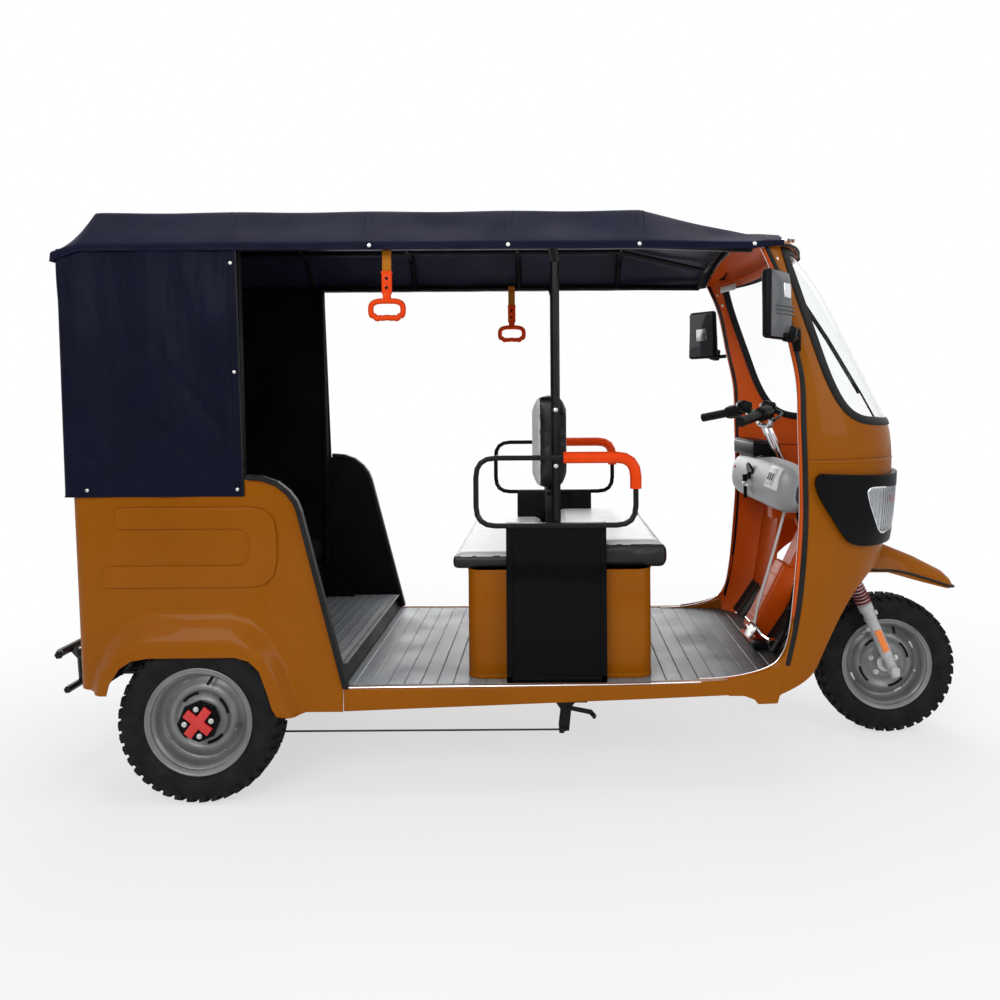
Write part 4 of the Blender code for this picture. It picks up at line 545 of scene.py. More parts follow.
reflector = finish("lamp reflector", (0.85, 0.86, 0.88), 0.08, grain=(0.05, 0.002, 40, 1.0), metallic=1.0)
print("finishes:", len(bpy.data.materials))

# %% [markdown]
# The CAD pieces whose shape is right keep their place and get a better finish in their slots. A name
# that ends in an underscore stands for a pair, left and right.

# %% Dress the CAD pieces
# The steering head takes the ochre copy with painted shade.
CAD_LOOKS = {ochre: "floor_pan rear_body seat_base cowl_lower cowl_upper front_mudguard windscreen_header",
             ochre_shaded: "steering_head", black_plate: "seat_side_panel_", lining: "rear_lining",
             black_tube: "chassis_frame rear_axle roof_frame rear_bumper armrest_ brake_rod fork_yoke "
                         "front_bulkhead",
             moulded: "lamp_housing_ mirror_ wiper hub_cover_", rubber: "edge_trim_ windscreen_gasket grip_",
             mat_grey: "floor_mat", chrome: "handlebar brake_pedal", fork_grey: "fork_legs",
             dash_grey: "dash", cover_orange: "armrest_cover_ grab_handle_", glass: "windscreen",
             lens: "lamp_lens_", red_lens: "tail_lamp_"}
for look, group in CAD_LOOKS.items():
    for word in group.split():
        for name in ([word + "left", word + "right"] if word.endswith("_") else [word]):
            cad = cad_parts[name]
            if not cad.material_slots:
                cad.data.materials.append(look)
            for slot in cad.material_slots:
                slot.material = look


def add(obj, look, slot, body, *instead):
    """Give a new piece its finish, and the body it rides on; the slot it belongs to is not used."""
    if look is not None:
        obj.data.materials.clear()
        obj.data.materials.append(look)
    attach(obj, body)
    if instead:
        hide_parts(*instead)
    return obj

# %% [markdown]
# A wheel is a cross-ply tyre on a pressed steel rim. The tyre's flank is spun from its section; its
# tread is blocks, one of each kind modelled with a bevelled cube and copied round the wheel, since
# the rubber lugs are cut apart by deep grooves on the real one.

# %% Tyre carcass
BEAD_R = 0.1535
FLANK = [(BEAD_R, 0.0405), (BEAD_R + 0.006, 0.0432), (0.169, 0.0436), (0.1715, 0.0452), (0.1745, 0.044),
         (0.185, 0.0482), (0.1865, 0.049), (0.1885, 0.0487), (0.196, 0.0503), (0.207, 0.0512),
         (0.218, 0.051), (0.227, 0.05), (0.233, 0.049), (0.24, 0.0455), (0.244, 0.04),
         (0.2468, 0.03), (0.248, 0.015), (0.2483, 0.0)]


def tyre_carcass(name):
    section = [(0, y, r) for r, y in FLANK] + [(0, -y, r) for r, y in reversed(FLANK[:-1])]
    inside = [(0, -0.033, BEAD_R), (0, 0.0, BEAD_R - 0.0005), (0, 0.033, BEAD_R), section[0]]
    return spun(name, section + inside, 96, 45)


# %% [markdown]
# The tread has a zigzag middle rib pair and heavy shoulder lugs that reach down the flank. Each kind
# of block is laid on the crown, then turned to its station round the wheel.

# %% Tread blocks
STATIONS = 40
LUGS = [((0.027, 0.0185, 0.011), (0.0, 0.013, 0.248), 0.3, -0.04),
        ((0.027, 0.0185, 0.011), (0.019, -0.013, 0.2472), -0.3, 0.04),
        ((0.029, 0.02, 0.014), (0.006, 0.0345, 0.245), -0.12, -0.2),
        ((0.029, 0.02, 0.014), (0.025, -0.0345, 0.2438), 0.12, 0.2),
        ((0.021, 0.009, 0.022), (0.006, 0.0465, 0.2365), 0.0, -0.3),
        ((0.021, 0.009, 0.022), (0.025, -0.0465, 0.2355), 0.0, 0.3)]


def lug(size, place, skew, lean):
    obj = block("lug", (0, 0, 0), size, bevel=0.0016, segments=1)
    turn = Matrix.Rotation(lean, 4, "X") @ Matrix.Rotation(skew, 4, "Z")
    obj.data.transform(Matrix.Translation(place) @ turn)
    return obj


def tread_ring(name):
    pattern = joined("lug_pattern", *[lug(*kind) for kind in LUGS])
    rings = [moved(pattern, "station", Matrix.Rotation(2 * math.pi * station / STATIONS, 4, "Y"))
             for station in range(STATIONS)]
    bpy.data.objects.remove(pattern)
    return joined(name, *rings)


# %% [markdown]
# The rim: a rolled flange, a well, and a dished disc pressed with one ring-shaped groove, four
# slotted vents and a valve. The disc is spun too; the vents and nuts are separate small pieces.

# %% Rim
RIM = [(0.02, 0.013), (0.04, 0.0135), (0.056, 0.014), (0.06, 0.012), (0.066, 0.008), (0.076, 0.007),
       (0.083, 0.0095), (0.088, 0.015), (0.094, 0.0168), (0.102, 0.015), (0.11, 0.008), (0.118, 0.001),
       (0.126, -0.002), (0.133, 0.002), (0.1385, 0.015), (0.14, 0.024), (0.142, 0.03), (0.149, 0.037),
       (0.153, 0.0395), (0.161, 0.04), (0.1655, 0.042), (0.168, 0.045), (0.1682, 0.047), (0.1665, 0.0478),
       (0.164, 0.0468), (0.16, 0.044), (0.152, 0.0436), (0.1505, 0.041), (0.15, 0.03), (0.144, 0.018),
       (0.1425, -0.03), (0.15, -0.04), (0.153, -0.04), (0.161, -0.04), (0.1655, -0.042), (0.168, -0.045),
       (0.1665, -0.047), (0.16, -0.044), (0.15, -0.0436), (0.14, -0.033), (0.139, -0.006),
       (0.133, -0.004), (0.126, -0.0075), (0.118, -0.0045), (0.102, 0.01), (0.094, 0.012),
       (0.088, 0.0105), (0.076, 0.0025), (0.06, 0.0075), (0.02, 0.0085), (0.02, 0.013)]


def rim_fittings(name, out, front):
    parts = []
    for number in range(4):
        vent = block("vent", (0, out * 0.0005, 0.126), (0.03, 0.003, 0.0075), bevel=0.0012)
        vent.data.transform(Matrix.Rotation(math.radians(90 * number + 62), 4, "Y"))
        parts.append(vent)
    if front:
        parts += [disc("hub", (0, 0.006 * out, 0), (0, 0.0345 * out, 0), 0.031, 40, 0.002),
                  disc("hub_cap", (0, 0.034 * out, 0), (0, 0.0395 * out, 0), 0.024, 40, 0.0015)]
        for number in range(5):
            angle = math.radians(72 * number + 18)
            spot = Vector((0.048 * math.cos(angle), out * 0.013, 0.048 * math.sin(angle)))
            for kind, rise, radius, sides, bevel in (("washer", 0.0025, 0.01, 20, 0.0),
                                                     ("nut", 0.0095, 0.0072, 6, 0.0006),
                                                     ("stud", 0.013, 0.0038, 14, 0.0004)):
                parts.append(disc(kind, spot, spot + Vector((0, out * rise, 0)), radius, sides, bevel))
    parts.append(disc("valve", (0.116, out * 0.002, -0.026), (0.11, out * 0.03, -0.03), 0.0042, 14, 0.0005))
    return joined(name, *parts)


def dress_wheel(side, centre, body, out, front=False):
    rim = spun("rim_disc_" + side, [(0, out * y, r) for r, y in RIM], 80, 38)
    for piece, look, slot_name, instead in (
            (tyre_carcass("tyre_flank_" + side), tread, "tyre", ["tyre_" + side]),
            (tread_ring("tread_blocks_" + side), tread, "tyre", []),
            (rim, silver, "silver_paint", ["rim_" + side]),
            (rim_fittings("rim_nuts_" + side, out, front), zinc if front else silver, "silver_paint", [])):
        piece.data.transform(Matrix.Translation(centre))
        add(piece, look, slot_name, body, *instead)


REAR_WHEELS = [(side, sign, "rear_wheel_" + side, AXLE_REAR + Vector((0, sign * WHEEL_Y, 0)))
               for side, sign in (("left", 1), ("right", -1))]
dress_wheel("front", AXLE_FRONT, "front_wheel", -1, True)
for side, sign, body, centre in REAR_WHEELS:
    dress_wheel("rear_" + side, centre, body, sign)
other_nuts = rim_fittings("rim_nuts_front_left", 1, True)
other_nuts.data.transform(Matrix.Translation(AXLE_FRONT))
add(other_nuts, zinc, "silver_paint", "front_wheel")

# %% [markdown]
# The rear hubs wear an eight-sided black cover with a red cross on it. The cross has a waist at its
# middle and square ends, and four zinc bolts sit between its arms.

# %% Hub covers
COVER_SEAT = 0.05
for side, sign, body, centre in REAR_WHEELS:
    middle = centre + Vector((0, sign * COVER_SEAT, 0))
    arms = []
    for angle, length, thick in ((38, 0.096, 0.0095), (128, 0.104, 0.0089)):
        arm = block("arm", (0, 0, 0), (length, thick, 0.028), bevel=0.002)
        arm.data.transform(Matrix.Translation(middle) @ Matrix.Rotation(math.radians(angle), 4, "Y"))
        arms.append(arm)
    add(joined("hub_cross_" + side, *arms), red_paint, "red_plastic", body)
    bolts = []
    for number in range(4):
        angle = math.radians(90 * number + 7)
        spot = middle + Vector((0.042 * math.cos(angle), 0, 0.042 * math.sin(angle)))
        bolts.append(disc("bolt", spot, spot + Vector((0, sign * 0.006, 0)), 0.0062, 6, 0.0007))
        bolts.append(disc("bolt_washer", spot, spot + Vector((0, sign * 0.002, 0)), 0.0085, 20))
    add(joined("hub_bolts_" + side, *bolts), zinc, "silver_paint", body)
print("hub covers done")

# %% [markdown]
# The roof is one sheet of coated cloth. It lies over the bows, dips a little between them, breaks
# over the side rails and hangs down as a valance with a hem. The rows below are its measured
# sections; between them the sheet is made finely enough to carry the dips and small puckers.

# %% Roof sections
ROOF_SECTIONS = [(-1.491, 0.505, 1.7, 1.73, 0.42, 1.733, 1.734, 1.734),
                 (-1.405, 0.505, 1.73, 1.752, 0.4, 1.873, 1.897, 1.905),
                 (0.383, 0.5, 1.73, 1.752, 0.398, 1.871, 1.895, 1.903),
                 (0.57, 0.49, 1.73, 1.751, 0.398, 1.826, 1.858, 1.87),
                 (0.736, 0.478, 1.73, 1.751, 0.398, 1.788, 1.827, 1.84),
                 (0.785, 0.472, 1.737, 1.757, 0.398, 1.788, 1.823, 1.837),
                 (0.84, 0.466, 1.741, 1.757, 0.402, 1.783, 1.82, 1.834)]
BOWS = [-1.405, -0.948, -0.501, -0.047, 0.383, 0.733]


def section_at(x):
    for low, high in zip(ROOF_SECTIONS, ROOF_SECTIONS[1:]):
        if x <= high[0]:
            share = (x - low[0]) / (high[0] - low[0])
            return [a + (b - a) * share for a, b in zip(low, high)]
    return ROOF_SECTIONS[-1]


def dip_at(x):
    """0 on a bow and 1 halfway to the next."""
    for low, high in zip(BOWS, BOWS[1:]):
        if low <= x <= high:
            return math.sin(math.pi * (x - low) / (high - low)) ** 2
    return 0.0


def rounded_row(corners, radii, steps=5):
    """The corners of a section with the middle ones rounded, cut finely on the straight runs."""
    row = [Vector(corners[0])]
    for before, here, after, radius in zip(corners, corners[1:], corners[2:], radii):
        before, here, after = Vector(before), Vector(here), Vector(after)
        start = here + (before - here).normalized() * radius
        end = here + (after - here).normalized() * radius
        for step in range(steps + 1):
            t = step / steps
            row.append(start.lerp(here, t).lerp(here.lerp(end, t), t))
    row.append(Vector(corners[-1]))
    fine = []
    for index, (a, b) in enumerate(zip(row, row[1:])):
        parts = {steps + 1: 7, 2 * steps + 2: 9, 3 * steps + 3: 8}.get(index, 1)
        fine += [a.lerp(b, step / parts) for step in range(parts)]
    return fine + [row[-1]]


def roof_row(x):
    _, side, low, crease, edge_y, edge_z, mid_z, crown_z = section_at(x)
    dip = dip_at(x)
    crown_z += 0.0015 - 0.005 * dip
    mid_z += 0.002 - 0.005 * dip
    edge_z += 0.004 - 0.003 * dip
    row = []
    for y, z in rounded_row([(side, low), (side, crease), (edge_y, edge_z), (0.2, mid_z), (0.0, crown_z)],
                            [0.008, 0.012, 0.05]):
        hang = max(0.0, min(1.0, (crease - z) / (crease - low)))
        flutter = 0.0022 * math.sin(x * 19 + 1.3) + 0.0016 * math.sin(x * 43) if z < crease else 0.0
        slope = max(0.0, 1 - abs((z - (crease + edge_z) / 2) / max(0.02, (edge_z - crease) / 2)))
        pucker = 0.0024 * slope * noise.noise(Vector((x * 5, y * 9, 2.0)))
        row.append((x, y - 0.001 + hang * flutter - 0.0045 * dip * slope - abs(pucker), z + pucker))
    return row


def sheet_mesh(name, rows):
    """A sheet from rows of points, joined by quads."""
    wide = len(rows[0])
    return meshed(name, [place for row in rows for place in row],
                  [(r * wide + c, r * wide + c + 1, (r + 1) * wide + c + 1, (r + 1) * wide + c)
                   for r in range(len(rows) - 1) for c in range(wide - 1)])


def mirrored(row):
    """A half row from the right edge to the middle, carried on to the left edge."""
    return [(x, -y, z) for x, y, z in row] + [(x, y, z) for x, y, z in reversed(row[:-1])]


def thickened(obj, thick, inner=1, offset=-1.0):
    return modify(obj, "SOLIDIFY", thickness=thick, offset=offset, material_offset=inner,
                  material_offset_rim=0)


def length_of(line):
    return sum((Vector(b) - Vector(a)).length for a, b in zip(line, line[1:]))


# %% [markdown]
# Both halves of each row are joined, so that the sheet runs from valance to valance. The tail end turns down into a
# short skirt. A solidify gives the cloth its thickness and a paler underside, a painted sheen.

# %% Roof sheet
roof_rows = []
x = -1.491
while x < 0.835:
    roof_rows.append(mirrored(roof_row(x)))
    x += 0.0142
roof_rows.append(mirrored(roof_row(0.8395)))
skirt = [[(px - 0.0035 - 0.0012 * math.sin(py * 40), py, min(pz, max(1.6985, 1.7345 - drop)))
          for px, py, pz in roof_rows[0]] for drop in (0.034, 0.022, 0.01)]
roof = painted(sheet_mesh("roof_cloth", skirt + roof_rows), navy_roof, navy_under_sheen)
thickened(facing(roof, 2), 0.0018)
add(smooth(roof, 60), None, "navy_cloth", "body", "canopy")

# %% [markdown]
# Seams: a welt runs along the edge of the roof panel on both sides, a hem along the valance, and a
# seam tape over each bow. They are thin tubes that follow the same rows.

# %% Roof seams and snaps
SEAM_OUT = 0.0004


def along_roof(pick_z):
    line = []
    x = -1.48
    while x <= 0.832:
        row = roof_row(x)
        level = pick_z(section_at(x))
        for a, b in zip(row, row[1:]):
            if b[2] >= level:
                share = max(0.0, min(1.0, (level - a[2]) / max(1e-6, b[2] - a[2])))
                line.append((x, a[1] + (b[1] - a[1]) * share + SEAM_OUT, level))
                break
        x += 0.02
    return line


seams = []
for sign in (-1, 1):
    for pick_z, thick in ((lambda s: s[2] + 0.0015, 0.0018), (lambda s: s[2] + 0.012, 0.0007),
                          (lambda s: s[3] - 0.003, 0.0007)):
        seams.append(tube("seam", [(px, sign * py, pz) for px, py, pz in along_roof(pick_z)], thick, 6))
for x in BOWS[1:5]:
    for shift in (-0.012, 0.012):
        line = mirrored(roof_row(x))[9:-9]
        seams.append(tube("seam", [(px + shift, py, pz) for px, py, pz in line], 0.0008, 6))
seams.append(tube("seam", [(-1.4962, -0.5 + 0.05 * n, 1.701) for n in range(21)], 0.0018, 6))
roof_seams = joined("roof_seams", *seams)
add(roof_seams, navy_roof, "navy_cloth", "body")

snaps = []
for sign in (-1, 1):
    for x, z in ((-0.484, 1.742), (-0.045, 1.742), (0.371, 1.742), (0.741, 1.744)):
        side = section_at(x)[1] + 0.0004
        snaps.append(disc("snap", (x, sign * side, z), (x, sign * (side + 0.0032), z), 0.0075, 20, 0.0012,
                          top=0.0052))
roof_snaps = joined("roof_snaps", *snaps)
add(roof_snaps, zinc, "navy_cloth", "body")

# %% [markdown]
# The side curtain is one long sheet too: from one doorway round the tail to the other. Its upper
# edge tucks behind the valance, its lower edge hangs just outside the body. Broad soft folds fall
# from the fixing points, and the corner at the tail is rounded.

# %% Curtain sheet
CURTAIN_LOW = 0.9535
CURTAIN_TOP = 1.739


def curtain_plan(share):
    """The curtain's line seen from above at one height, from the right doorway to the left."""
    rear = -1.444 - 0.01 - 0.031 * share
    out = 0.5098 - 0.0103 * share - 0.0008
    front = -0.883 - 0.026 * share
    corner = 0.016
    side = [Vector((front + (rear + corner - front) * n / 46, -out)) for n in range(47)]
    turn = [Vector((rear + corner - corner * math.sin(math.radians(9 * n)),
                    -out + corner - corner * math.cos(math.radians(9 * n)))) for n in range(1, 10)]
    back = [Vector((rear, -out + corner + (out - corner) * n / 34)) for n in range(35)]
    half = side + turn + back
    return half + [Vector((p.x, -p.y)) for p in reversed(half[:-1])]


def fold_depth(u, v):
    """How far the cloth stands out, u along from the doorway in metres, v the share of its height."""
    slack = math.sin(math.pi * min(1.0, max(0.0, v))) ** 0.7
    broad = 0.006 * slack * math.sin(7.5 * u + 1.9 * v + 0.4)
    slanted = 0.0036 * slack * math.sin(17 * u - 8.5 * v) * (0.4 + 0.6 * v)
    sharp = noise.noise(Vector((u * 5.2 - v * 2.1, v * 1.7, 3.7)))
    crease = 0.005 * slack * (1 - min(1.0, abs(sharp) * 5.5)) * (0.3 + 0.7 * (1 - v))
    ridge = math.exp(-(((u - 0.16 - 0.36 * (1 - v) ** 1.3) / 0.03) ** 2))
    ridge += 0.6 * math.exp(-(((u - 0.3 - 0.1 * (1 - v)) / 0.022) ** 2))
    hang = 0.003 * math.sin(24 * u + 2.2) * (1 - v) ** 3
    return broad + slanted - crease + hang + 0.0055 * slack * ridge


CURTAIN_LEVELS = 58
CURTAIN_HEART = Vector((-1.15, 0.0, 1.3))
curtain_rows = []
for level in range(CURTAIN_LEVELS + 1):
    v = level / CURTAIN_LEVELS
    plan = curtain_plan(v)
    z = CURTAIN_LOW + (CURTAIN_TOP - CURTAIN_LOW) * v
    run = 0.0
    row = []
    for index, place in enumerate(plan):
        if index:
            run += (place - plan[index - 1]).length
        before = plan[max(0, index - 1)]
        after = plan[min(len(plan) - 1, index + 1)]
        square = Vector((after.y - before.y, -(after.x - before.x))).normalized()
        if square.dot(place - CURTAIN_HEART.xy) < 0:
            square = -square
        depth = fold_depth(run, v) * min(1.0, run / 0.05)
        if abs(place.y) < 0.44:
            depth *= 0.8
        depth = max(-0.0014, min(0.0085, depth))
        row.append((place.x + square.x * depth, place.y + square.y * depth, z))
    curtain_rows.append(row)
curtain = painted(sheet_mesh("side_curtain", curtain_rows), navy, lining)
if sum(face.normal.dot(face.center - CURTAIN_HEART) * face.area for face in curtain.data.polygons) < 0:
    curtain.data.flip_normals()
thickened(curtain, 0.0016)
add(smooth(curtain, 60), None, "navy_cloth", "body", "rear_curtain")

# %% [markdown]
# The curtain's edges are bound: a black binding down each doorway edge, a stitched hem along the
# bottom, and snap studs at its corners and halfway down the front edge.

# %% Curtain bindings
bindings = [tube("hem", [Vector(p) + Vector((0, 0, 0.001)) for p in curtain_rows[0]], 0.0017, 6)]
doorway_binding = joined("doorway_binding", *[tube("binding", [row[end] for row in curtain_rows], 0.003, 8)
                                              for end in (0, -1)])
add(doorway_binding, rubber, "rubber", "body")
for offset, radius in ((2, 0.0009), (1, 0.0006)):
    for end, push in ((0, -1), (-1, 1)):
        line = [Vector(row[offset if end == 0 else -1 - offset]) + Vector((0, push * 0.0005, 0))
                for row in curtain_rows]
        bindings.append(tube("stitch", line, radius, 6))
bindings.append(tube("stitch", curtain_rows[1], 0.0011, 6))
curtain_hems = joined("curtain_hems", *bindings)
add(curtain_hems, navy, "navy_cloth", "body")
studs = []
for sign in (-1, 1):
    for x, z, out in ((-0.924, 1.69, 0.501), (-0.912, 1.345, 0.505), (-0.902, 0.975, 0.5105),
                      (-1.375, 0.975, 0.511)):
        studs.append(disc("stud", (x, sign * (out - 0.002), z), (x, sign * (out + 0.003), z), 0.0072, 20,
                          0.0012, top=0.005))
curtain_studs = joined("curtain_studs", *studs)
add(curtain_studs, zinc, "navy_cloth", "body")

# %% [markdown]
# The seats are foam under black vinyl. Each starts from its solid, a little smaller, is remeshed and
# blown up by a cloth simulation with inner pressure, so the faces crown and the edges pull in. The
# underside is kept flat where it rests.


def copied(node_name, name):
    return in_edit_mode(linked(name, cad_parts[node_name].data.copy()), weld)


def stuffed(node_name, name, shrink, cap, voxel, flat_low=True):
    """A cushion from its solid; cap is the furthest that the pressure may move the cloth."""
    obj = copied(node_name, name)
    low, high = [Vector(corner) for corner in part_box(node_name)]
    middle = (low + high) / 2
    for vert in obj.data.vertices:
        for axis in range(3):
            reach = (high[axis] - low[axis]) / 2
            vert.co[axis] = middle[axis] + (vert.co[axis] - middle[axis]) * (reach - shrink) / reach
    if flat_low:
        for vert in obj.data.vertices:
            vert.co.z -= shrink
    modify(obj, "REMESH", mode="VOXEL", voxel_size=voxel)
    start = [vert.co.copy() for vert in obj.data.vertices]
    cloth = obj.modifiers.new("Cloth", "CLOTH")
    cloth.settings.use_pressure = True
    cloth.settings.uniform_pressure_force = 4.0
    cloth.settings.effector_weights.gravity = 0
    cloth.settings.quality = 3
    cloth.collision_settings.use_collision = False
    cloth.point_cache.frame_start = 1
    cloth.point_cache.frame_end = 20
    for step in range(1, 15):
        bpy.context.scene.frame_set(step)
    only(obj)
    bpy.ops.object.modifier_apply(modifier="Cloth")
    bpy.context.scene.frame_set(1)
    for vert, before in zip(obj.data.vertices, start):
        move = vert.co - before
        if move.length > cap:
            move = move * (cap / move.length)
        place = before + move
        place.x = min(max(place.x, low.x - 0.004), high.x + 0.004)
        place.z = max(place.z, low.z) if flat_low else place.z
        vert.co = place
    modify(obj, "SMOOTH", factor=0.5, iterations=3)
    modify(obj, "SUBSURF", levels=1, render_levels=1)
    add(smooth(obj, 60), vinyl, "black_vinyl", "body", node_name)
    return obj


driver_pad = stuffed("driver_cushion", "driver_seat_pad", 0.006, 0.01, 0.0082)
rear_facing_pad = stuffed("rear_facing_cushion", "rear_facing_seat_pad", 0.005, 0.008, 0.0082)
back_pad = stuffed("seat_backrest", "seat_back_pad", 0.006, 0.01, 0.0072, flat_low=False)
bench_pad = stuffed("rear_cushion", "bench_seat_pad", 0.007, 0.012, 0.0105)
bench_back = stuffed("rear_backrest", "bench_back_pad", 0.006, 0.01, 0.0105)

# %% [markdown]
# Both seat cushions' tops and the backrest's rear face are pale grey: the faces beyond a level that look that way take
# the second finish. It stands for pale vinyl and also paints the bright glare that these faces catch from the white
# surroundings.

# %% Pale faces
for pad, axis, sign, level in ((rear_facing_pad, 2, 1, 0.74), (driver_pad, 2, 1, 0.7735), (back_pad, 0, -1, 0.048)):
    pad.data.materials.append(pale_vinyl_glare)
    for face in pad.data.polygons:
        if sign * face.normal[axis] > 0.15 and sign * face.center[axis] > sign * level:
            face.material_index = 1
print("pads:", [len(o.data.polygons) for o in (driver_pad, rear_facing_pad, back_pad, bench_pad, bench_back)])

# %% [markdown]
# The cowl is one curved shell: seen from above it is a rounded nose, and its rear edge and its nose
# lean and taper with height. The table gives that for some heights; a smooth curve runs between.

# %% Cowl surface
COWL = [(0.285, 0.813, 0.455, 1.02), (0.386, 0.836, 0.457, 1.11), (0.5, 0.862, 0.458, 1.185),
        (0.611, 0.88, 0.458, 1.238), (0.74, 0.893, 0.458, 1.282), (0.868, 0.9, 0.458, 1.306),
        (1.025, 0.899, 0.458, 1.318), (1.12, 0.897, 0.457, 1.314), (1.165, 0.896, 0.456, 1.302),
        (1.31, 0.892, 0.454, 1.222), (1.452, 0.862, 0.453, 1.144), (1.622, 0.828, 0.452, 1.04),
        (1.742, 0.778, 0.452, 0.938)]
SEAM_Z = 1.052


def four_about(rows, k):
    """Two neighbours on each side of a gap; at an end the last one stands twice."""
    return [rows[min(len(rows) - 1, max(0, k + i))] for i in (-1, 0, 1, 2)]


def eased(p, t):
    """A place between the middle two of four points, on a smooth curve through all."""
    return 0.5 * (2 * p[1] + (p[2] - p[0]) * t + (2 * p[0] - 5 * p[1] + 4 * p[2] - p[3]) * t ** 2
                  + (3 * p[1] - p[0] - 3 * p[2] + p[3]) * t ** 3)


def bent(rows, at, column):
    """Smooth value of one column of a table at a height: a cubic through its neighbours."""
    p = four_about(rows, max(i for i in range(len(rows) - 1) if rows[i][0] <= at or i == 0))
    run = p[2][0] - p[1][0]
    t = (at - p[1][0]) / run
    m1, m2 = [(b[column] - a[column]) / (b[0] - a[0]) * run for a, b in ((p[0], p[2]), (p[1], p[3]))]
    return ((2 * t ** 3 - 3 * t ** 2 + 1) * p[1][column] + (t ** 3 - 2 * t ** 2 + t) * m1
            + (3 * t ** 2 - 2 * t ** 3) * p[2][column] + (t ** 3 - t ** 2) * m2)


def cowl_at(z, angle, grow=0.0):
    """Point of the shell; the angle is 0 at the right rear edge and pi at the left one."""
    rear, half, nose = [bent(COWL, z, column) for column in (1, 2, 3)]
    power = 2 / 2.3
    x = rear + (nose + grow - rear) * math.sin(angle) ** power
    c = math.cos(angle)
    return Vector((x, -math.copysign(abs(c) ** power, c) * (half + grow), z))


def cowl_side(x, z, grow=0.0):
    """The same shell where its x is known, on the right side."""
    rear = bent(COWL, z, 1)
    half, nose = [bent(COWL, z, column) + grow for column in (2, 3)]
    share = min(1.0, max(0.0, (x - rear) / (nose - rear)))
    return Vector((rear + (nose - rear) * share, -half * (1 - share ** 2.3) ** (1 / 2.3), z))


def soft_line(points, step):
    """A smooth line through points in a plane, cut at a given step."""
    points = [Vector(place) for place in points]
    line = []
    for k in range(len(points) - 1):
        p = four_about(points, k)
        parts = max(1, round((p[2] - p[1]).length / step))
        line += [eased(p, n / parts) for n in range(parts)]
    return line + [points[-1]]


def shell(name, low, high, grow, step=0.014, across=56):
    count = max(2, round((high - low) / step))
    angles = [math.pi * n / across for n in range(across + 1)]
    heights = [low + (high - low) * level / count for level in range(count + 1)]
    return facing(sheet_mesh(name, [[cowl_at(z, angle, grow) for angle in angles] for z in heights]), 0)


def prism(name, outline, low, high):
    """A cutter: an outline in the side view, drawn out from one side to the other."""
    count = len(outline)
    faces = [tuple(range(count)), tuple(range(2 * count - 1, count - 1, -1))]
    faces += [(i, i + count, (i + 1) % count + count, (i + 1) % count) for i in range(count)]
    obj = meshed(name, [(p[0], y, p[1]) for y in (low, high) for p in outline], faces)
    return in_edit_mode(obj, weld, face_out)


def carve(obj, cutter, how="DIFFERENCE"):
    modify(obj, "BOOLEAN", object=cutter, operation=how, solver="EXACT")
    bpy.data.objects.remove(cutter)
    return obj


def cowl_part(name, low, high, cutter, instead):
    part = thickened(painted(shell(name, low, high, 0.0), ochre, ochre_shaded), 0.003)
    carve(part, prism("cutter", cutter, -0.6, 0.6))
    return add(smooth(part, 30), None, "ochre_paint", "body", instead)


# %% [markdown]
# The lower shell is cut by the wheel arch, the upper one by the screen. Inside, the faces take a redder copy of the
# ochre that paints the shade of the interior. A recessed dark line marks the joint between the two.

# %% Cowl shells
ARCH_TOP = [(1.286, 0.72), (1.205, 0.697), (1.136, 0.66), (1.068, 0.598), (1.016, 0.521), (0.975, 0.44),
            (0.939, 0.364), (0.9, 0.332), (0.824, 0.298)]
arch = [(1.5, 0.722)] + soft_line(ARCH_TOP, 0.02) + [(0.79, 0.27), (0.79, 0.2), (1.5, 0.2)]
lower = cowl_part("cowl_skin_low", 0.285, SEAM_Z - 0.0008, arch, "cowl_lower")

SCREEN = [(0.845, 1.736), (0.878, 1.622), (0.936, 1.452), (0.988, 1.31), (1.04, 1.222), (1.1, 1.182),
          (1.188, 1.17)]
screen_line = soft_line(SCREEN, 0.012)
opening = [(0.826, 1.8)] + screen_line + [(1.5, 1.165), (1.5, 1.8)]
upper = cowl_part("cowl_skin_top", SEAM_Z + 0.0008, 1.7415, opening, "cowl_upper")
print("cowl faces:", len(lower.data.polygons), len(upper.data.polygons))

# %% [markdown]
# Many details here follow a line on a surface: seals, trims, straps. One helper sweeps a small
# section along a line, with a given outward direction at each point.

# %% Sweep helper
def ribbon(name, path, outs, section, cyclic=False):
    """Sweep a closed section (across, out) along a path; outs gives the outward direction."""
    rows = []
    count = len(path)
    for index, place in enumerate(path):
        before = path[index - 1] if cyclic or index else place
        after = path[(index + 1) % count] if cyclic or index < count - 1 else place
        ahead = (Vector(after) - Vector(before)).normalized()
        out = Vector(outs[index] if isinstance(outs, list) else outs)
        out = (out - ahead * out.dot(ahead)).normalized()
        across = ahead.cross(out)
        rows.append([Vector(place) + across * a + out * o for a, o in section])
    wide = len(section)
    points = [p for row in rows for p in row]
    faces = []
    for r in range(count if cyclic else count - 1):
        for c in range(wide):
            a = r * wide + c
            b = r * wide + (c + 1) % wide
            up = ((r + 1) % count) * wide
            faces.append((a, b, up + (c + 1) % wide, up + c))
    if not cyclic:
        faces.append(tuple(range(wide)))
        faces.append(tuple(range(len(points) - 1, len(points) - wide - 1, -1)))
    return smooth(in_edit_mode(meshed(name, points, faces), weld, face_out), 50)
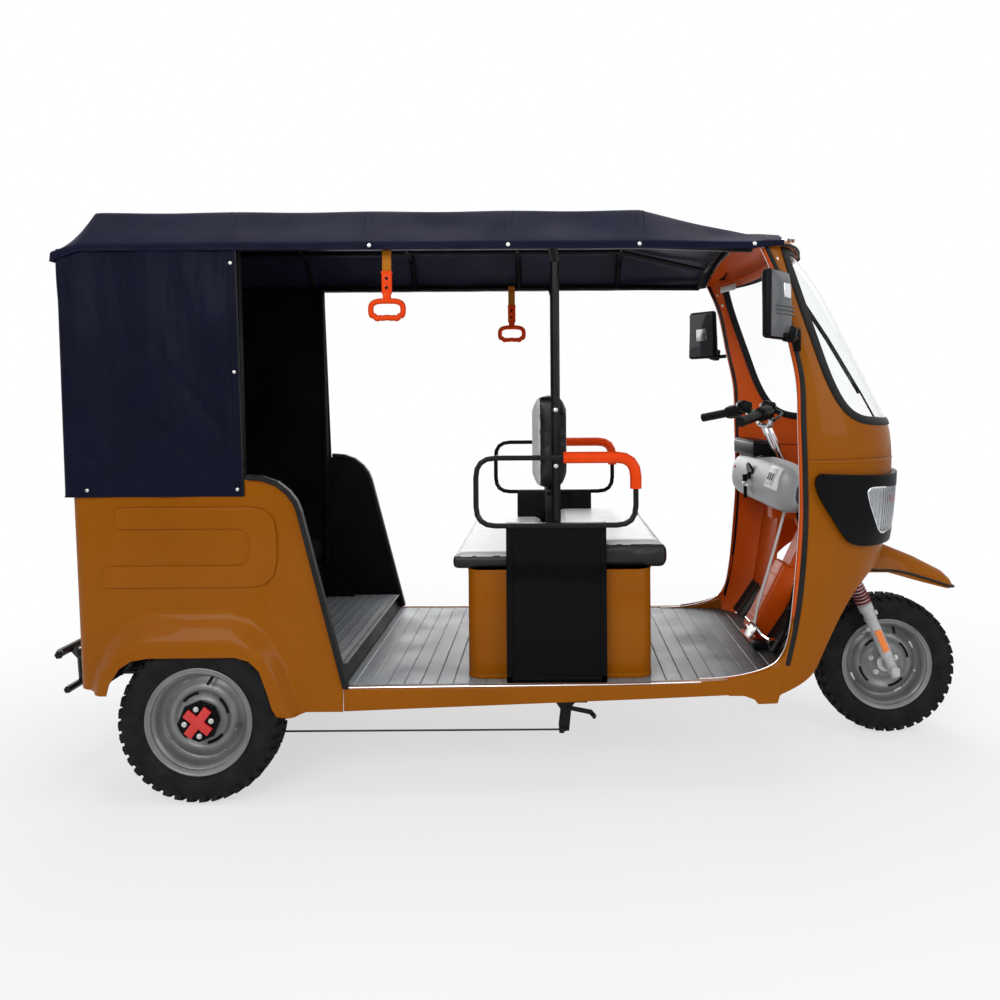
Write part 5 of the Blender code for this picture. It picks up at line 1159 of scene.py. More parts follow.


# %% [markdown]
# Black rubber seals: a broad one round the glass, and a trim along the rear edge of the cowl on each side, with a
# bright bead on the inner flange beside it that paints the highlight line along the trim.

# %% Seals and edge trims
seal_path = [cowl_side(p.x, p.y) for p in screen_line]
foot_angle = math.acos(min(1.0, (abs(seal_path[-1].y) / bent(COWL, 1.17, 2)) ** 1.15))
for n in range(1, 19):
    angle = foot_angle + (math.pi / 2 - foot_angle) * n / 18
    seal_path.append(cowl_at(1.17 - 0.003 * n / 18, angle))
seal_path += [Vector((p.x, -p.y, p.z)) for p in reversed(seal_path[:-1])]
head_angle = math.acos((abs(seal_path[0].y) / bent(COWL, 1.735, 2)) ** 1.15)
top_line = [cowl_at(1.735, math.pi - head_angle - (math.pi - 2 * head_angle) * n / 30) for n in range(1, 30)]


def cowl_out(place):
    """Outward direction of the cowl at a place on it."""
    d = 0.004
    z = min(1.73, max(0.3, place.z))
    rear, nose = bent(COWL, z, 1), bent(COWL, z, 3)
    share = max(0.0, min(1.0, (place.x - rear) / (nose - rear)))
    radial = Vector((share ** 1.3 / (nose - rear), math.copysign(abs(place.y / 0.457) ** 1.3, place.y) / 0.457, 0.0))
    lean, tilt = [(bent(COWL, z + d, column) - bent(COWL, z - d, column)) / (2 * d) for column in (1, 3)]
    radial.z = -radial.x * (lean + (tilt - lean) * share)
    return radial.normalized()


SEAL = [(-0.0135, -0.006), (-0.0135, 0.003), (-0.01, 0.0058), (0.0, 0.0068), (0.01, 0.0058), (0.0135, 0.003),
        (0.0135, -0.006), (0.0, -0.008)]
full = seal_path + top_line
add(ribbon("screen_seal", full, [cowl_out(p) for p in full], SEAL, cyclic=True), rubber, "rubber", "body",
    "windscreen_gasket")
TRIM = [(-0.0085, -0.004), (-0.0085, 0.002), (-0.005, 0.0045), (0.004, 0.0045), (0.0085, 0.002), (0.0085, -0.004)]
edge_path = [cowl_at(0.392 + (1.738 - 0.392) * n / 80, 0.0) + Vector((0.004, 0, 0)) for n in range(81)]
add(both_sides(ribbon("cowl_edge_trim", edge_path, Vector((-0.25, -1, 0)), TRIM)), rubber, "rubber", "body")
SEAM = [(-0.0016, -0.002), (-0.0016, 0.0008), (0.0016, 0.0008), (0.0016, -0.002)]
LIP = [(0.0045 * math.cos(math.radians(a)), -0.002 + 0.0038 * math.sin(math.radians(a)) ** 0.7)
       for a in range(0, 181, 20)]
for name, drop, grow, section, look, slot_name in (("cowl_seam", 0.0, -0.0012, SEAM, rubber, "rubber"),
                                                   ("cowl_seam_lip", 0.01, 0.0, LIP, ochre, "ochre_paint")):
    path = [cowl_at(SEAM_Z - drop, math.pi * n / 60, grow) for n in range(61)]
    add(ribbon(name, path, [cowl_out(p) for p in path], section), look, slot_name, "body")

# %% [markdown]
# The inner flange of each doorway edge runs from the sill up the cowl: a strip of the ochre copy with painted shade
# between the black trim and a bright bead, which is a painted highlight line. At the foot it sweeps into the sill.

# %% Doorway flanges
FLANGE = [(0.56, 0.3455), (0.64, 0.349), (0.71, 0.36), (0.775, 0.378), (0.818, 0.405), (0.842, 0.448),
          (0.855, 0.51), (0.866, 0.6), (0.878, 0.73), (0.888, 0.87), (0.888, 1.025), (0.885, 1.165),
          (0.88, 1.31), (0.851, 1.452), (0.817, 1.622), (0.77, 1.735)]
inner_edge = soft_line(FLANGE, 0.02)
outer_edge = []
for p in inner_edge:
    if p.y < 0.395:
        share = (p.y - 0.3455) / 0.05
        outer_edge.append(Vector((p.x + 0.012 + 0.022 * share, p.y - 0.016 - 0.02 * share)))
    else:
        outer_edge.append(Vector((bent(COWL, p.y, 1) + 0.002, p.y)))
rows = [[(a.x, -0.4435, a.y), (a.x - 0.001, -0.4475, a.y), (a.x + (b.x - a.x) * 0.25, -0.4535, a.y + (b.y - a.y) * 0.25),
         (b.x, -0.456, b.y)] for a, b in zip(inner_edge, outer_edge)]
flange = thickened(facing(sheet_mesh("doorway_flange", rows), 1, -1), 0.0025, inner=0)
add(both_sides(smooth(flange, 60)), ochre_shaded, "ochre_paint", "body")
# The bright bead along the flange is a painted highlight line.
bead = tube("flange_highlight_bead", [(p.x - 0.001, -0.444, p.y) for p in inner_edge[::2]], 0.0013, 8)
add(both_sides(bead), bright_strip, "ochre_paint", "body")
print("flange length", round(length_of(inner_edge), 3))

# %% [markdown]
# The windscreen follows the same curve just inside the seal. The cap over it is a low vault: six sections from the roof
# cloth to the brow, smoothed both ways, with an inner face in the ochre copy that paints shade.

# %% Windscreen and cap
pane = thickened(shell("windscreen_pane", 1.12, 1.735, -0.0005), 0.0035, inner=0)
inner_line = soft_line([(0.856, 1.726), (0.889, 1.622), (0.947, 1.452), (0.999, 1.312), (1.05, 1.228),
                        (1.106, 1.191), (1.19, 1.18)], 0.012)
carve(pane, prism("pane", [(0.856, 1.8)] + inner_line + [(1.5, 1.176), (1.5, 1.8)], -0.6, 0.6), "INTERSECT")
add(smooth(pane, 40), glass, "clear_glass", "body", "windscreen")

CAP = [(0.775, ((0.458, 1.744), (0.425, 1.762), (0.34, 1.782), (0.2, 1.804), (0.0, 1.815))),
       (0.83, ((0.45, 1.744), (0.413, 1.766), (0.33, 1.788), (0.2, 1.81), (0.0, 1.824))),
       (0.88, ((0.418, 1.744), (0.378, 1.768), (0.31, 1.787), (0.2, 1.807), (0.0, 1.822))),
       (0.922, ((0.34, 1.744), (0.305, 1.76), (0.26, 1.774), (0.17, 1.79), (0.0, 1.806))),
       (0.958, ((0.23, 1.744), (0.21, 1.75), (0.18, 1.758), (0.11, 1.769), (0.0, 1.779))),
       (0.966, ((0.21, 1.738), (0.195, 1.738), (0.16, 1.738), (0.09, 1.738), (0.0, 1.738)))]
CAP_WIDE = 25
even = []
for x, pairs in CAP:
    line = soft_line([(x, y, z) for y, z in pairs], 0.018)
    row = []
    for n in range(CAP_WIDE):
        at = (len(line) - 1) * n / (CAP_WIDE - 1)
        k = min(int(at), len(line) - 2)
        row.append(line[k].lerp(line[k + 1], at - k))
    even.append(row)
cap_rows = [[eased([row[c] for row in four_about(even, k)], n / 5) for c in range(CAP_WIDE)]
            for k in range(len(even) - 1) for n in range(5)] + [even[-1]]
cap_full = [[Vector(place) for place in mirrored(row)] for row in cap_rows]
cap = painted(facing(sheet_mesh("screen_cap", cap_full), 2), ochre, ochre_shaded)
add(smooth(thickened(cap, 0.004), 40), None, "ochre_paint", "body", "windscreen_header")

# %% [markdown]
# The cap's rear rim has a black bead with a bright line under it, its lower rim a black one. Inside
# sit a small white plate and a row of screws; a black visor tongue lies over each front corner.

# %% Cap trims
low_rim = [row[0] + Vector((0.0, -0.0008, 0.002)) for row in cap_full]
low_rim += [p + Vector((0.001, 0, 0.001)) for p in cap_full[-1][1:-1]]
low_rim += [row[-1] + Vector((0.0, 0.0008, 0.002)) for row in reversed(cap_full)]
for name, line, shift, radius, look, slot_name in (
        ("cap_rear_bead", cap_full[0], (-0.003, 0, 0.001), 0.0055, rubber, "rubber"),
        ("cap_bright_line", cap_full[0], (-0.0035, 0, -0.0085), 0.0026, bright_strip, "ochre_paint"),
        ("cap_brow_bead", low_rim, (0, 0, 0), 0.0042, rubber, "rubber")):
    add(tube(name, [p + Vector(shift) for p in line], radius, 8), look, slot_name, "body")
screws = []
for sign in (-1, 1):
    for x, y, z in ((0.838, 0.452, 1.757), (0.872, 0.41, 1.771), (0.902, 0.352, 1.781)):
        screws.append(disc("cap_screw", (x, sign * (y - 0.006), z - 0.006), (x, sign * (y + 0.006), z + 0.004),
                           0.0065, 14, 0.001))
    for z in (1.7, 1.655):
        x = bent(COWL, z, 1) + 0.022
        screws.append(disc("cap_screw", (x, sign * 0.45, z), (x, sign * 0.447, z), 0.006, 14, 0.001))
add(joined("cap_screws", *screws), zinc, "ochre_paint", "body")
ledge_rows = []
for n in range(21):
    y = -0.4 + 0.8 * n / 20
    x = 0.8 + 0.086 * (1 - (abs(y) / 0.43) ** 2.3)
    ledge_rows.append([(x, y, 1.742), (x + 0.012, y, 1.74), (x + 0.016, y, 1.718)])
ledge = thickened(sheet_mesh("cap_inner_ledge", ledge_rows), 0.003, inner=0, offset=0)
# The ledge inside the cap takes the ochre copy with painted shade.
add(smooth(ledge, 40), ochre_shaded, "ochre_paint", "body")
plate = block("inner_plate", (0.836, 0.33, 1.7135), (0.004, 0.12, 0.026), 0.003, turn=(0, 0.1, 0.32))
add(plate, white_plastic, "ochre_paint", "body")
tongue_rows = []
for n in range(9):
    t = n / 8
    x = 0.78 + 0.058 * t
    tongue_rows.append([(x, -0.462 + 0.058 * t, 1.756 + 0.002 * t), (x, -0.428 + 0.056 * t, 1.774 - 0.002 * t),
                        (x, -0.372 + 0.046 * t, 1.787 - 0.003 * t)])
tongue = thickened(facing(sheet_mesh("visor_tongue", tongue_rows), 2), 0.007, inner=0, offset=1)
modify(tongue, "BEVEL", width=0.002, segments=2)
add(both_sides(smooth(tongue, 40)), moulded, "rubber", "body")

# %% [markdown]
# Each lamp housing is cut from a slightly larger shell with a rounded outline; behind the clear,
# fluted lens there is a bright bowl and a small bulb cap.

# %% Lamp housings and lenses
HOUSE = [(1.3, 0.995), (1.18, 0.995), (0.975, 1.006), (0.948, 1.004), (0.934, 0.987), (0.937, 0.952),
         (0.96, 0.905), (0.992, 0.855), (1.022, 0.81), (1.048, 0.783), (1.085, 0.771), (1.15, 0.765), (1.3, 0.764)]
GLASS = [(1.3, 0.947), (1.16, 0.956), (1.124, 0.954), (1.114, 0.944), (1.124, 0.905), (1.14, 0.865), (1.158, 0.825),
         (1.172, 0.808), (1.195, 0.801), (1.3, 0.799)]


def closed_ahead(outline):
    """A smooth outline, closed well ahead of the cowl."""
    return soft_line(outline, 0.008) + [(1.6, outline[-1][1]), (1.6, outline[0][1])]


def patch(name, outline, grow, thick, y_near):
    """A piece of a shell outside the cowl, cut out by its outline on the right side."""
    heights = [p[1] for p in outline]
    obj = shell(name, min(heights) - 0.01, max(heights) + 0.01, grow, 0.01, 64)
    thickened(obj, thick, inner=0)
    return carve(obj, prism("cut", closed_ahead(outline), -0.7, -y_near), "INTERSECT")


def rounded_pair(obj, width, segments, limit, look, slot_name, instead):
    modify(obj, "BEVEL", width=width, segments=segments, angle_limit=math.radians(limit))
    left = moved(smooth(obj, 40), obj.name + "_left", MIRROR_Y)
    add(obj, look, slot_name, "body", instead + "_right")
    add(left, look, slot_name, "body", instead + "_left")


house = patch("lamp_house", HOUSE, 0.018, 0.017, 0.125)
carve(house, prism("hole", closed_ahead(GLASS), -0.72, -0.16))
rounded_pair(house, 0.0045, 3, 50, moulded, "black_plastic", "lamp_housing")
cover = patch("lamp_glass", GLASS, 0.0165, 0.003, 0.1605)
rounded_pair(cover, 0.001, 2, 60, lens, "clear_glass", "lamp_lens")
add(both_sides(smooth(patch("lamp_bowl", GLASS, 0.0022, 0.0016, 0.163), 40)), reflector, "chrome", "body")
flutes = [tube("flute", [cowl_at(z, 0.66 + 0.07 * n, 0.01) for z in (0.812, 0.86, 0.9, 0.94)], 0.0022, 6)
          for n in range(9)]
add(both_sides(joined("lamp_flutes", *flutes)), lens, "clear_glass", "body")
bulb = both_sides(disc("bulb_cap", cowl_at(0.905, 0.95, 0.003), cowl_at(0.905, 0.95, 0.013), 0.014, 24, 0.002))
add(bulb, red_lens, "red_plastic", "body")
rim_path = [cowl_side(p.x, p.y, 0.0178) for p in soft_line(GLASS, 0.01) if p.x < 1.2]
add(both_sides(tube("lamp_rim", rim_path, 0.0024, 8)), chrome, "chrome", "body")
print("lamp pieces:", len(house.data.polygons), len(cover.data.polygons))

# %% [markdown]
# The mirrors are turned well inwards. Each head has a black shell at the glass side, a grey back
# with ribs and a small bright square, and a black ball joint on its arm.

# %% Mirrors
def mirror_turn(sign):
    return Matrix.Translation((0.788, sign * 0.59, 1.537)) @ Matrix.Rotation(sign * math.radians(41), 4, "Z")


def turned_mirror(sign):
    turn = mirror_turn(sign)
    suffix = "left" if sign > 0 else "right"
    shell_front = block("mirror_shell", (-0.012, 0, 0), (0.03, 0.146, 0.212), 0.013, segments=4)
    for vert in shell_front.data.vertices:
        vert.co.y *= 1 - 0.06 * (vert.co.z / 0.105)
    shell_front.data.transform(turn)
    back_rows = []
    for a in range(13):
        z = -0.1 + 0.2 * a / 12
        row = []
        for b in range(13):
            y = (-1 + b / 6) * (0.064 - 0.004 * (z / 0.1))
            bulge = (1 - abs(b / 6 - 1) ** 4) * (1 - abs(a / 6 - 1) ** 6)
            depth = 0.003 + 0.018 * bulge
            if 0.34 < a / 12 < 0.56:
                depth += 0.0026 * math.sin(a * math.pi)
            row.append((depth, y, z))
        back_rows.append(row)
    back = smooth(thickened(facing(sheet_mesh("mirror_back", back_rows), 0), 0.004, inner=0), 45)
    ribs = [tube("rib", [(0.019, -0.055, z), (0.0235, -0.03, z), (0.0235, 0.03, z), (0.019, 0.055, z)], 0.003, 8)
            for z in (-0.006, -0.018, -0.03)]
    square = block("mirror_square", (0.0218, 0.004, 0.04), (0.003, 0.046, 0.044), 0.001)
    glass_face = block("mirror_glass", (-0.0275, 0, 0), (0.002, 0.128, 0.19), 0.01, segments=3)
    for piece in [back, square, glass_face] + ribs:
        piece.data.transform(turn)
    back = joined("mirror_back", back, *ribs)
    arm = tube("mirror_arm", [(0.792, sign * 0.592, 1.452), (0.812, sign * 0.575, 1.44), (0.84, sign * 0.545, 1.437),
                              (0.868, sign * 0.5, 1.439), (0.876, sign * 0.459, 1.44)], 0.0085, 12)
    joint = block("mirror_joint", (0.826, sign * 0.56, 1.448), (0.04, 0.036, 0.05), 0.008,
                  turn=(0, 0.2, sign * 0.5), segments=3)
    foot = block("mirror_foot", (0.879, sign * 0.46, 1.437), (0.024, 0.01, 0.072), 0.003)
    grip = disc("mirror_nut", (0.872, sign * 0.472, 1.44), (0.876, sign * 0.462, 1.44), 0.014, 6, 0.001)
    dark = joined("mirror_" + suffix + "_shell", shell_front, arm, joint, foot, grip)
    add(dark, moulded, "black_plastic", "body", "mirror_" + suffix)
    add(back, mirror_grey, "black_plastic", "body")
    square.name = "mirror_square_" + suffix
    add(square, bright_strip, "chrome", "body")
    add(glass_face, mirror_dark, "chrome", "body")


for sign in (-1, 1):
    turned_mirror(sign)
far_square = block("mirror_inner_square", (-0.03, -0.004, 0.0), (0.002, 0.056, 0.052), 0.001)
far_square.data.transform(mirror_turn(1))
add(far_square, bright_strip, "chrome", "body")
print("mirrors done")

# %% [markdown]
# At the foot of each doorway the cowl and the sill flow into one another through a corner panel. It
# is a sheet whose upper edge is the doorway flange and whose lower edge is the sill's own edge.

# %% Corner panels
def along(table, at):
    """Straight interpolation in a table of pairs."""
    for low, high in zip(table, table[1:]):
        if at <= high[0]:
            share = max(0.0, (at - low[0]) / (high[0] - low[0]))
            return low[1] + (high[1] - low[1]) * share
    return table[-1][1]


SILL_OUT = [(0.4, 0.489), (0.69, 0.4695), (0.816, 0.458), (0.87, 0.458)]
FOOT = [(0.64, 0.3005), (0.7, 0.298), (0.734, 0.285), (0.745, 0.27), (0.812, 0.27), (0.814, 0.286),
        (0.836, 0.386), (0.862, 0.5), (0.866, 0.52)]
DOOR_EDGE = [(p.x, p.y) for p in inner_edge if p.x >= 0.6 and p.y < 0.6] + [(0.9, 0.6)]
corner_rows = []
for n in range(42):
    x = 0.65 + 0.21 * n / 41
    top = along(DOOR_EDGE, x) + 0.0035
    low = min(along(FOOT, x), top - 0.004)
    y = along(SILL_OUT, x)
    column = []
    for m in range(15):
        share = m / 14
        roll = 0.01 * max(0.0, (share - 0.82) / 0.18) ** 2
        column.append((x, -(y + 0.001 - roll), low + (top - low) * share))
    corner_rows.append(column)
corner = thickened(facing(sheet_mesh("doorway_corner", corner_rows), 1, -1), 0.003, inner=0)
add(both_sides(smooth(corner, 50)), ochre, "ochre_paint", "body")

# %% [markdown]
# Ahead of the driver's feet the floor turns up into a ribbed toe board, and a painted guard board
# behind the front wheel closes the cowl. The guard is in two halves, so that the fork can turn.

# %% Toe board and guard boards
TOE_LEAN = 34.7
GUARD_LEAN = 9
toe = block("toe_board", (0.926, 0, 0.42), (0.006, 0.868, 0.19), bevel=0.002, turn=TOE_LEAN)
toe_ribs = [block("toe_rib", (0.9215, -0.402 + 0.067 * n, 0.4225), (0.0045, 0.0085, 0.18), bevel=0.0018,
                  turn=TOE_LEAN) for n in range(13)]
add(joined("toe_board", toe, *toe_ribs), rubber, "rubber", "body")

boards = []
for sign in (-1, 1):
    for x, y, z, size, bevel in ((0.988, 0.287, 0.66, (0.003, 0.274, 0.47), 0.0012),
                                 (0.985, 0.287, 0.665, (0.005, 0.184, 0.33), 0.0045),
                                 (0.979, 0.15, 0.66, (0.02, 0.0035, 0.47), 0.0012)):
        boards.append(block("guard_board", (x, sign * y, z), size, bevel=bevel, turn=GUARD_LEAN))
# The guard boards behind the wheel take the ochre copy with painted shade.
add(joined("guard_boards", *boards), ochre_shaded, "ochre_paint", "body")
print("corner, toe board and guard:", len(corner.data.polygons), "faces")

# %% [markdown]
# The dash is a soft silver-grey pod that bulges towards the driver. Its sections are rounded boxes
# that shrink at both ends. A black well, the key, a white-edged gauge and a black box sit on it.

# %% Dash pod
pod_rows = []
for n in range(41):
    t = -1 + n / 20
    size = max(0.02, 1 - abs(t) ** 5) ** 0.5
    lift = 0.008 * (1 - t * t)
    ring = []
    for m in range(37):
        a = 2 * math.pi * m / 36
        c, s = math.cos(a), math.sin(a)
        cx = math.copysign(abs(c) ** 0.72, c) * 0.05 * (0.35 + 0.65 * size)
        cz = math.copysign(abs(s) ** 0.72, s) * 0.086 * (0.3 + 0.7 * size)
        ring.append((0.903 + cx - 0.012 * (1 - t * t) * (c < 0) * abs(c) + cz * 0.1, 0.432 * t, 0.938 + lift + cz))
    pod_rows.append(ring)


def open_edges_only():
    bpy.ops.mesh.select_mode(type="EDGE")
    bpy.ops.mesh.select_all(action="DESELECT")
    bpy.ops.mesh.select_non_manifold()


COLUMN_HOLE = 0.064
pod = in_edit_mode(sheet_mesh("dash_pod", pod_rows), weld, face_out)
in_edit_mode(pod, open_edges_only, bpy.ops.mesh.fill, face_out)
carve(pod, disc("column_cutter", FORK_FOOT + FORK_UP * 0.58, FORK_FOOT + FORK_UP * 0.98, COLUMN_HOLE, 40))
painted(pod, dash_grey, lining)
for face in pod.data.polygons:
    arm = face.center - FORK_FOOT
    from_axis = (arm - FORK_UP * arm.dot(FORK_UP)).length
    face.material_index = 1 if from_axis < COLUMN_HOLE + 0.0008 else 0
add(smooth(pod, 50), None, "silver_paint", "body")

well = disc("dash_well", (0.852, 0.01, 0.962), (0.8455, 0.01, 0.96), 0.052, 40, 0.003, top=0.046)
keyhole = disc("key_barrel", (0.848, 0.01, 0.958), (0.834, 0.01, 0.956), 0.0135, 24, 0.0015)
key_head = block("key_head", (0.824, 0.01, 0.95), (0.02, 0.0045, 0.026), bevel=0.002)
key_ring = tube("key_ring", [(0.824 + 0.01 * math.cos(math.pi * k / 5), 0.012, 0.927 + 0.01 * math.sin(math.pi * k / 5))
                             for k in range(10)], 0.0011, 8, cyclic=True)
tag = block("key_tag", (0.825, 0.012, 0.896), (0.014, 0.004, 0.044), bevel=0.0018)
add(joined("dash_well", well, keyhole, key_head, tag), moulded, "black_plastic", "body")
add(key_ring, chrome, "chrome", "body")

GAUGE_LEAN = 24
gauge_rim = block("gauge_rim", (0.856, -0.27, 0.976), (0.022, 0.104, 0.082), bevel=0.0045, turn=GAUGE_LEAN)
gauge_face = block("gauge_face", (0.8454, -0.27, 0.9807), (0.004, 0.084, 0.062), bevel=0.0015, turn=GAUGE_LEAN)
bars = [block("gauge_bar", (0.843, -0.27 + 0.024 * k, 0.9817), (0.0022, 0.0115, 0.026), bevel=0.0008,
              turn=GAUGE_LEAN) for k in (-1, 0, 1)]
add(gauge_rim, white_plastic, "silver_paint", "body")
add(gauge_face, dash_grey, "silver_paint", "body")
add(joined("gauge_bars", *bars), moulded, "black_plastic", "body")
box_top = block("dash_box", (0.908, 0.215, 1.052), (0.082, 0.33, 0.058), bevel=0.009, segments=3)
lid = block("dash_box_lid", (0.906, 0.215, 1.083), (0.07, 0.3, 0.006), bevel=0.0025)
add(joined("dash_box", box_top, lid), moulded, "black_plastic", "body")
mark = disc("dash_lamp", (0.858, 0.29, 0.968), (0.8485, 0.29, 0.967), 0.0085, 20, 0.0015)
add(mark, red_lens, "red_plastic", "body")
print("dash done")

# %% [markdown]
# The column has a painted cover at its foot. A thin pale rod runs from the dash to the foot brake,
# whose pad is a ribbed metal plate, and a black hose is clipped along the guard.

# %% Column cover, rod, hose and pedal pad
COVER_LEAN = 27
PEDAL_LEAN = 38
cover = block("column_cover", (0.923, 0.0, 0.49), (0.088, 0.112, 0.29), bevel=0.012, turn=COVER_LEAN, segments=3)
plate = block("column_plate", (0.89, 0.0, 0.352), (0.15, 0.15, 0.008), bevel=0.002)
cover_ribs = [block("cover_rib", (0.845 + 0.041 * k, 0.0, 0.43 + 0.08 * k), (0.006, 0.074, 0.012), bevel=0.002,
                    turn=COVER_LEAN) for k in range(3)]
# The cover in the footwell takes the ochre copy with painted shade.
add(joined("column_cover", cover, plate, *cover_ribs), ochre_shaded, "ochre_paint", "body")
rod = tube("pedal_rod", [(0.912, -0.215, 0.87), (0.872, -0.18, 0.68), (0.822, -0.136, 0.48), (0.818, -0.13, 0.415)],
           0.0054, 10)
add(rod, white_plastic, "silver_paint", "body")
hose_line = [(0.925, -0.3, 0.86), (0.945, -0.31, 0.78), (0.948, -0.3, 0.7), (0.925, -0.27, 0.62),
             (0.915, -0.25, 0.52), (0.905, -0.235, 0.44), (0.88, -0.22, 0.385), (0.872, -0.2, 0.352)]
hose = tube("brake_hose", hose_line, 0.0062, 10)
clips = [disc("hose_clip", (x, y, z - 0.005), (x, y, z + 0.005), 0.0095, 20, 0.001)
         for x, y, z in ((0.942, -0.295, 0.68), (0.914, -0.25, 0.52))]
add(joined("brake_hose", hose, *clips), rubber, "rubber", "body")
pad = block("pedal_pad", (0.808, -0.123, 0.406), (0.007, 0.07, 0.05), bevel=0.0022, turn=PEDAL_LEAN)
grips = [block("pad_rib", (0.804 - 0.0054 * k, -0.123, 0.409 + 0.0125 * k), (0.004, 0.058, 0.0045), bevel=0.001,
               turn=PEDAL_LEAN) for k in (-1, 0, 1)]
add(joined("pedal_pad", pad, *grips), zinc, "chrome", "body")
foot = block("pedal_foot", (0.86, -0.123, 0.358), (0.095, 0.058, 0.024), bevel=0.006)
add(foot, moulded, "black_plastic", "body")
print("pedal side done")

# %% [markdown]
# On the handlebar sit the switch pods with their buttons, the brake levers and a clamp. They turn
# with the bars.

# %% Handlebar fittings
fittings = []
for sign in (-1, 1):
    fittings.append(block("switch_pod", (0.864, sign * 0.176, 1.218), (0.046, 0.05, 0.046), bevel=0.01,
                          turn=(0, math.radians(15), sign * 0.35), segments=3))
    fittings.append(block("switch_back", (0.844, sign * 0.182, 1.219), (0.018, 0.034, 0.03), bevel=0.005))
    fittings.append(disc("lever_hub", (0.88, sign * 0.176, 1.196), (0.88, sign * 0.176, 1.218), 0.012, 20, 0.002))
    lever = [(0.888, 0.176, 1.206), (0.9, 0.205, 1.203), (0.893, 0.24, 1.196), (0.866, 0.29, 1.184),
             (0.842, 0.318, 1.176)]
    fittings.append(tube("lever", [(x, sign * y, z) for x, y, z in lever], 0.0052, 8))
fittings.append(block("bar_clamp", (0.885, 0.0, 1.195), (0.052, 0.118, 0.03), bevel=0.007, segments=3))
add(joined("bar_fittings", *fittings), moulded, "black_plastic", "steering")
knobs = [disc("knob", (0.838, y, 1.226), (0.832, y, 1.227), 0.0055, 16, 0.001) for y in (-0.178, 0.178)]
add(joined("switch_knobs", *knobs), white_plastic, "black_plastic", "steering")
print("bar fittings done")

# %% [markdown]
# The rear body keeps its shape from the solid. Its copy is shaded smoothly over the soft flares, with the big faces
# leading the shading, and its inner faces are black.

# %% Rear body
def leading_faces(obj, angle):
    """Smooth shading in which the big faces lead, so that small ones don't dent the gloss."""
    return modify(smooth(obj, angle), "WEIGHTED_NORMAL", mode="FACE_AREA_WITH_ANGLE", weight=60, keep_sharp=True)


rear_skin = painted(copied("rear_body", "rear_body_skin"), ochre, lining)
for face in rear_skin.data.polygons:
    place = face.center
    inward = face.normal.y * place.y < -0.02 and abs(face.normal.y) > 0.2
    ahead = face.normal.x > 0.3 and place.x < -1.3
    rim_top = face.normal.z > 0.6 and place.z > 0.9 and abs(place.y) < 0.5
    face.material_index = 1 if inward or ahead or rim_top else 0
add(leading_faces(rear_skin, 38), None, "ochre_paint", "body", "rear_body")
print("rear body faces:", len(rear_skin.data.polygons))

# %% [markdown]
# The seat stands on a painted box with rounded upright corners. Glossy black plates with a raised
# border hang from the armrest tubes over its sides, and black stays carry the backrest.

# %% Seat box and side plates
BOX_ROUND = 0.052


def plan_outline(rear, front, half, z, steps=7):
    """Rounded rectangle in plan, as points at one height."""
    points = []
    for cx, cy, first in ((front - BOX_ROUND, half - BOX_ROUND, 0), (rear + BOX_ROUND, half - BOX_ROUND, 90),
                          (rear + BOX_ROUND, BOX_ROUND - half, 180), (front - BOX_ROUND, BOX_ROUND - half, 270)):
        for step in range(steps + 1):
            a = math.radians(first + 90 * step / steps)
            points.append((cx + BOX_ROUND * math.cos(a), cy + BOX_ROUND * math.sin(a), z))
    return points


box_parts = [slab(name, plan_outline(rear, front, half, z), (0, 0, tall), bevel)
             for name, rear, front, half, z, tall, bevel in (
                 ("seat_box", -0.19, 0.413, 0.4295, 0.3445, 0.3535, 0.003),
                 ("seat_lip", -0.191, 0.414, 0.43, 0.689, 0.009, 0.002),
                 ("seat_foot", -0.191, 0.414, 0.43, 0.3445, 0.015, 0.002))]
add(joined("seat_box", *box_parts), ochre, "ochre_paint", "body", "seat_base")
stays = []
for sign in (-1, 1):
    stays.append(block("stay", (0.08, sign * 0.1, 0.812), (0.028, 0.04, 0.226), bevel=0.003))
    stays.append(disc("stay_bolt", (0.066, sign * 0.1, 0.905), (0.0605, sign * 0.1, 0.905), 0.008, 6, 0.0008))
stays.append(block("stay_bar", (0.08, 0.0, 0.915), (0.024, 0.26, 0.02), bevel=0.003))
add(joined("backrest_stays", *stays), black_tube, "black_paint", "body")

for side, sign in (("left", 1), ("right", -1)):
    low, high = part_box("seat_side_panel_" + side)
    middle_x, middle_z = (low[0] + high[0]) / 2, (low[2] + high[2]) / 2
    wide, tall = high[0] - low[0], high[2] - low[2]
    outer_y = sign * max(abs(low[1]), abs(high[1]))
    inner_y = sign * min(abs(low[1]), abs(high[1]))
    bits = [block("plate", (middle_x, inner_y + sign * 0.003, middle_z), (wide, 0.006, tall), bevel=0.0012)]
    for dx, dz, w, h in ((-wide / 2 + 0.01, 0, 0.02, tall), (wide / 2 - 0.01, 0, 0.02, tall),
                         (0, tall / 2 - 0.011, wide, 0.022), (0, -tall / 2 + 0.011, wide, 0.022)):
        bits.append(block("border", (middle_x + dx, outer_y - sign * 0.0025, middle_z + dz), (w, 0.005, h),
                          bevel=0.0018))
    for k in (-1, 1):
        x, z = middle_x + k * (wide / 2 - 0.01), middle_z + tall / 2 - 0.03
        bits.append(disc("rivet", (x, outer_y - sign * 0.001, z), (x, outer_y + sign * 0.0015, z), 0.0045, 14,
                         0.0006))
    add(joined("seat_plate_" + side, *bits), black_plate, "black_paint", "body", "seat_side_panel_" + side)
print("seat box and plates done")

# %% [markdown]
# Two passenger handles hang under the roof rails: an ochre strap folded over the rail, an orange
# buckle with two black rivets, and a grip ring whose lower side has waves for the fingers.

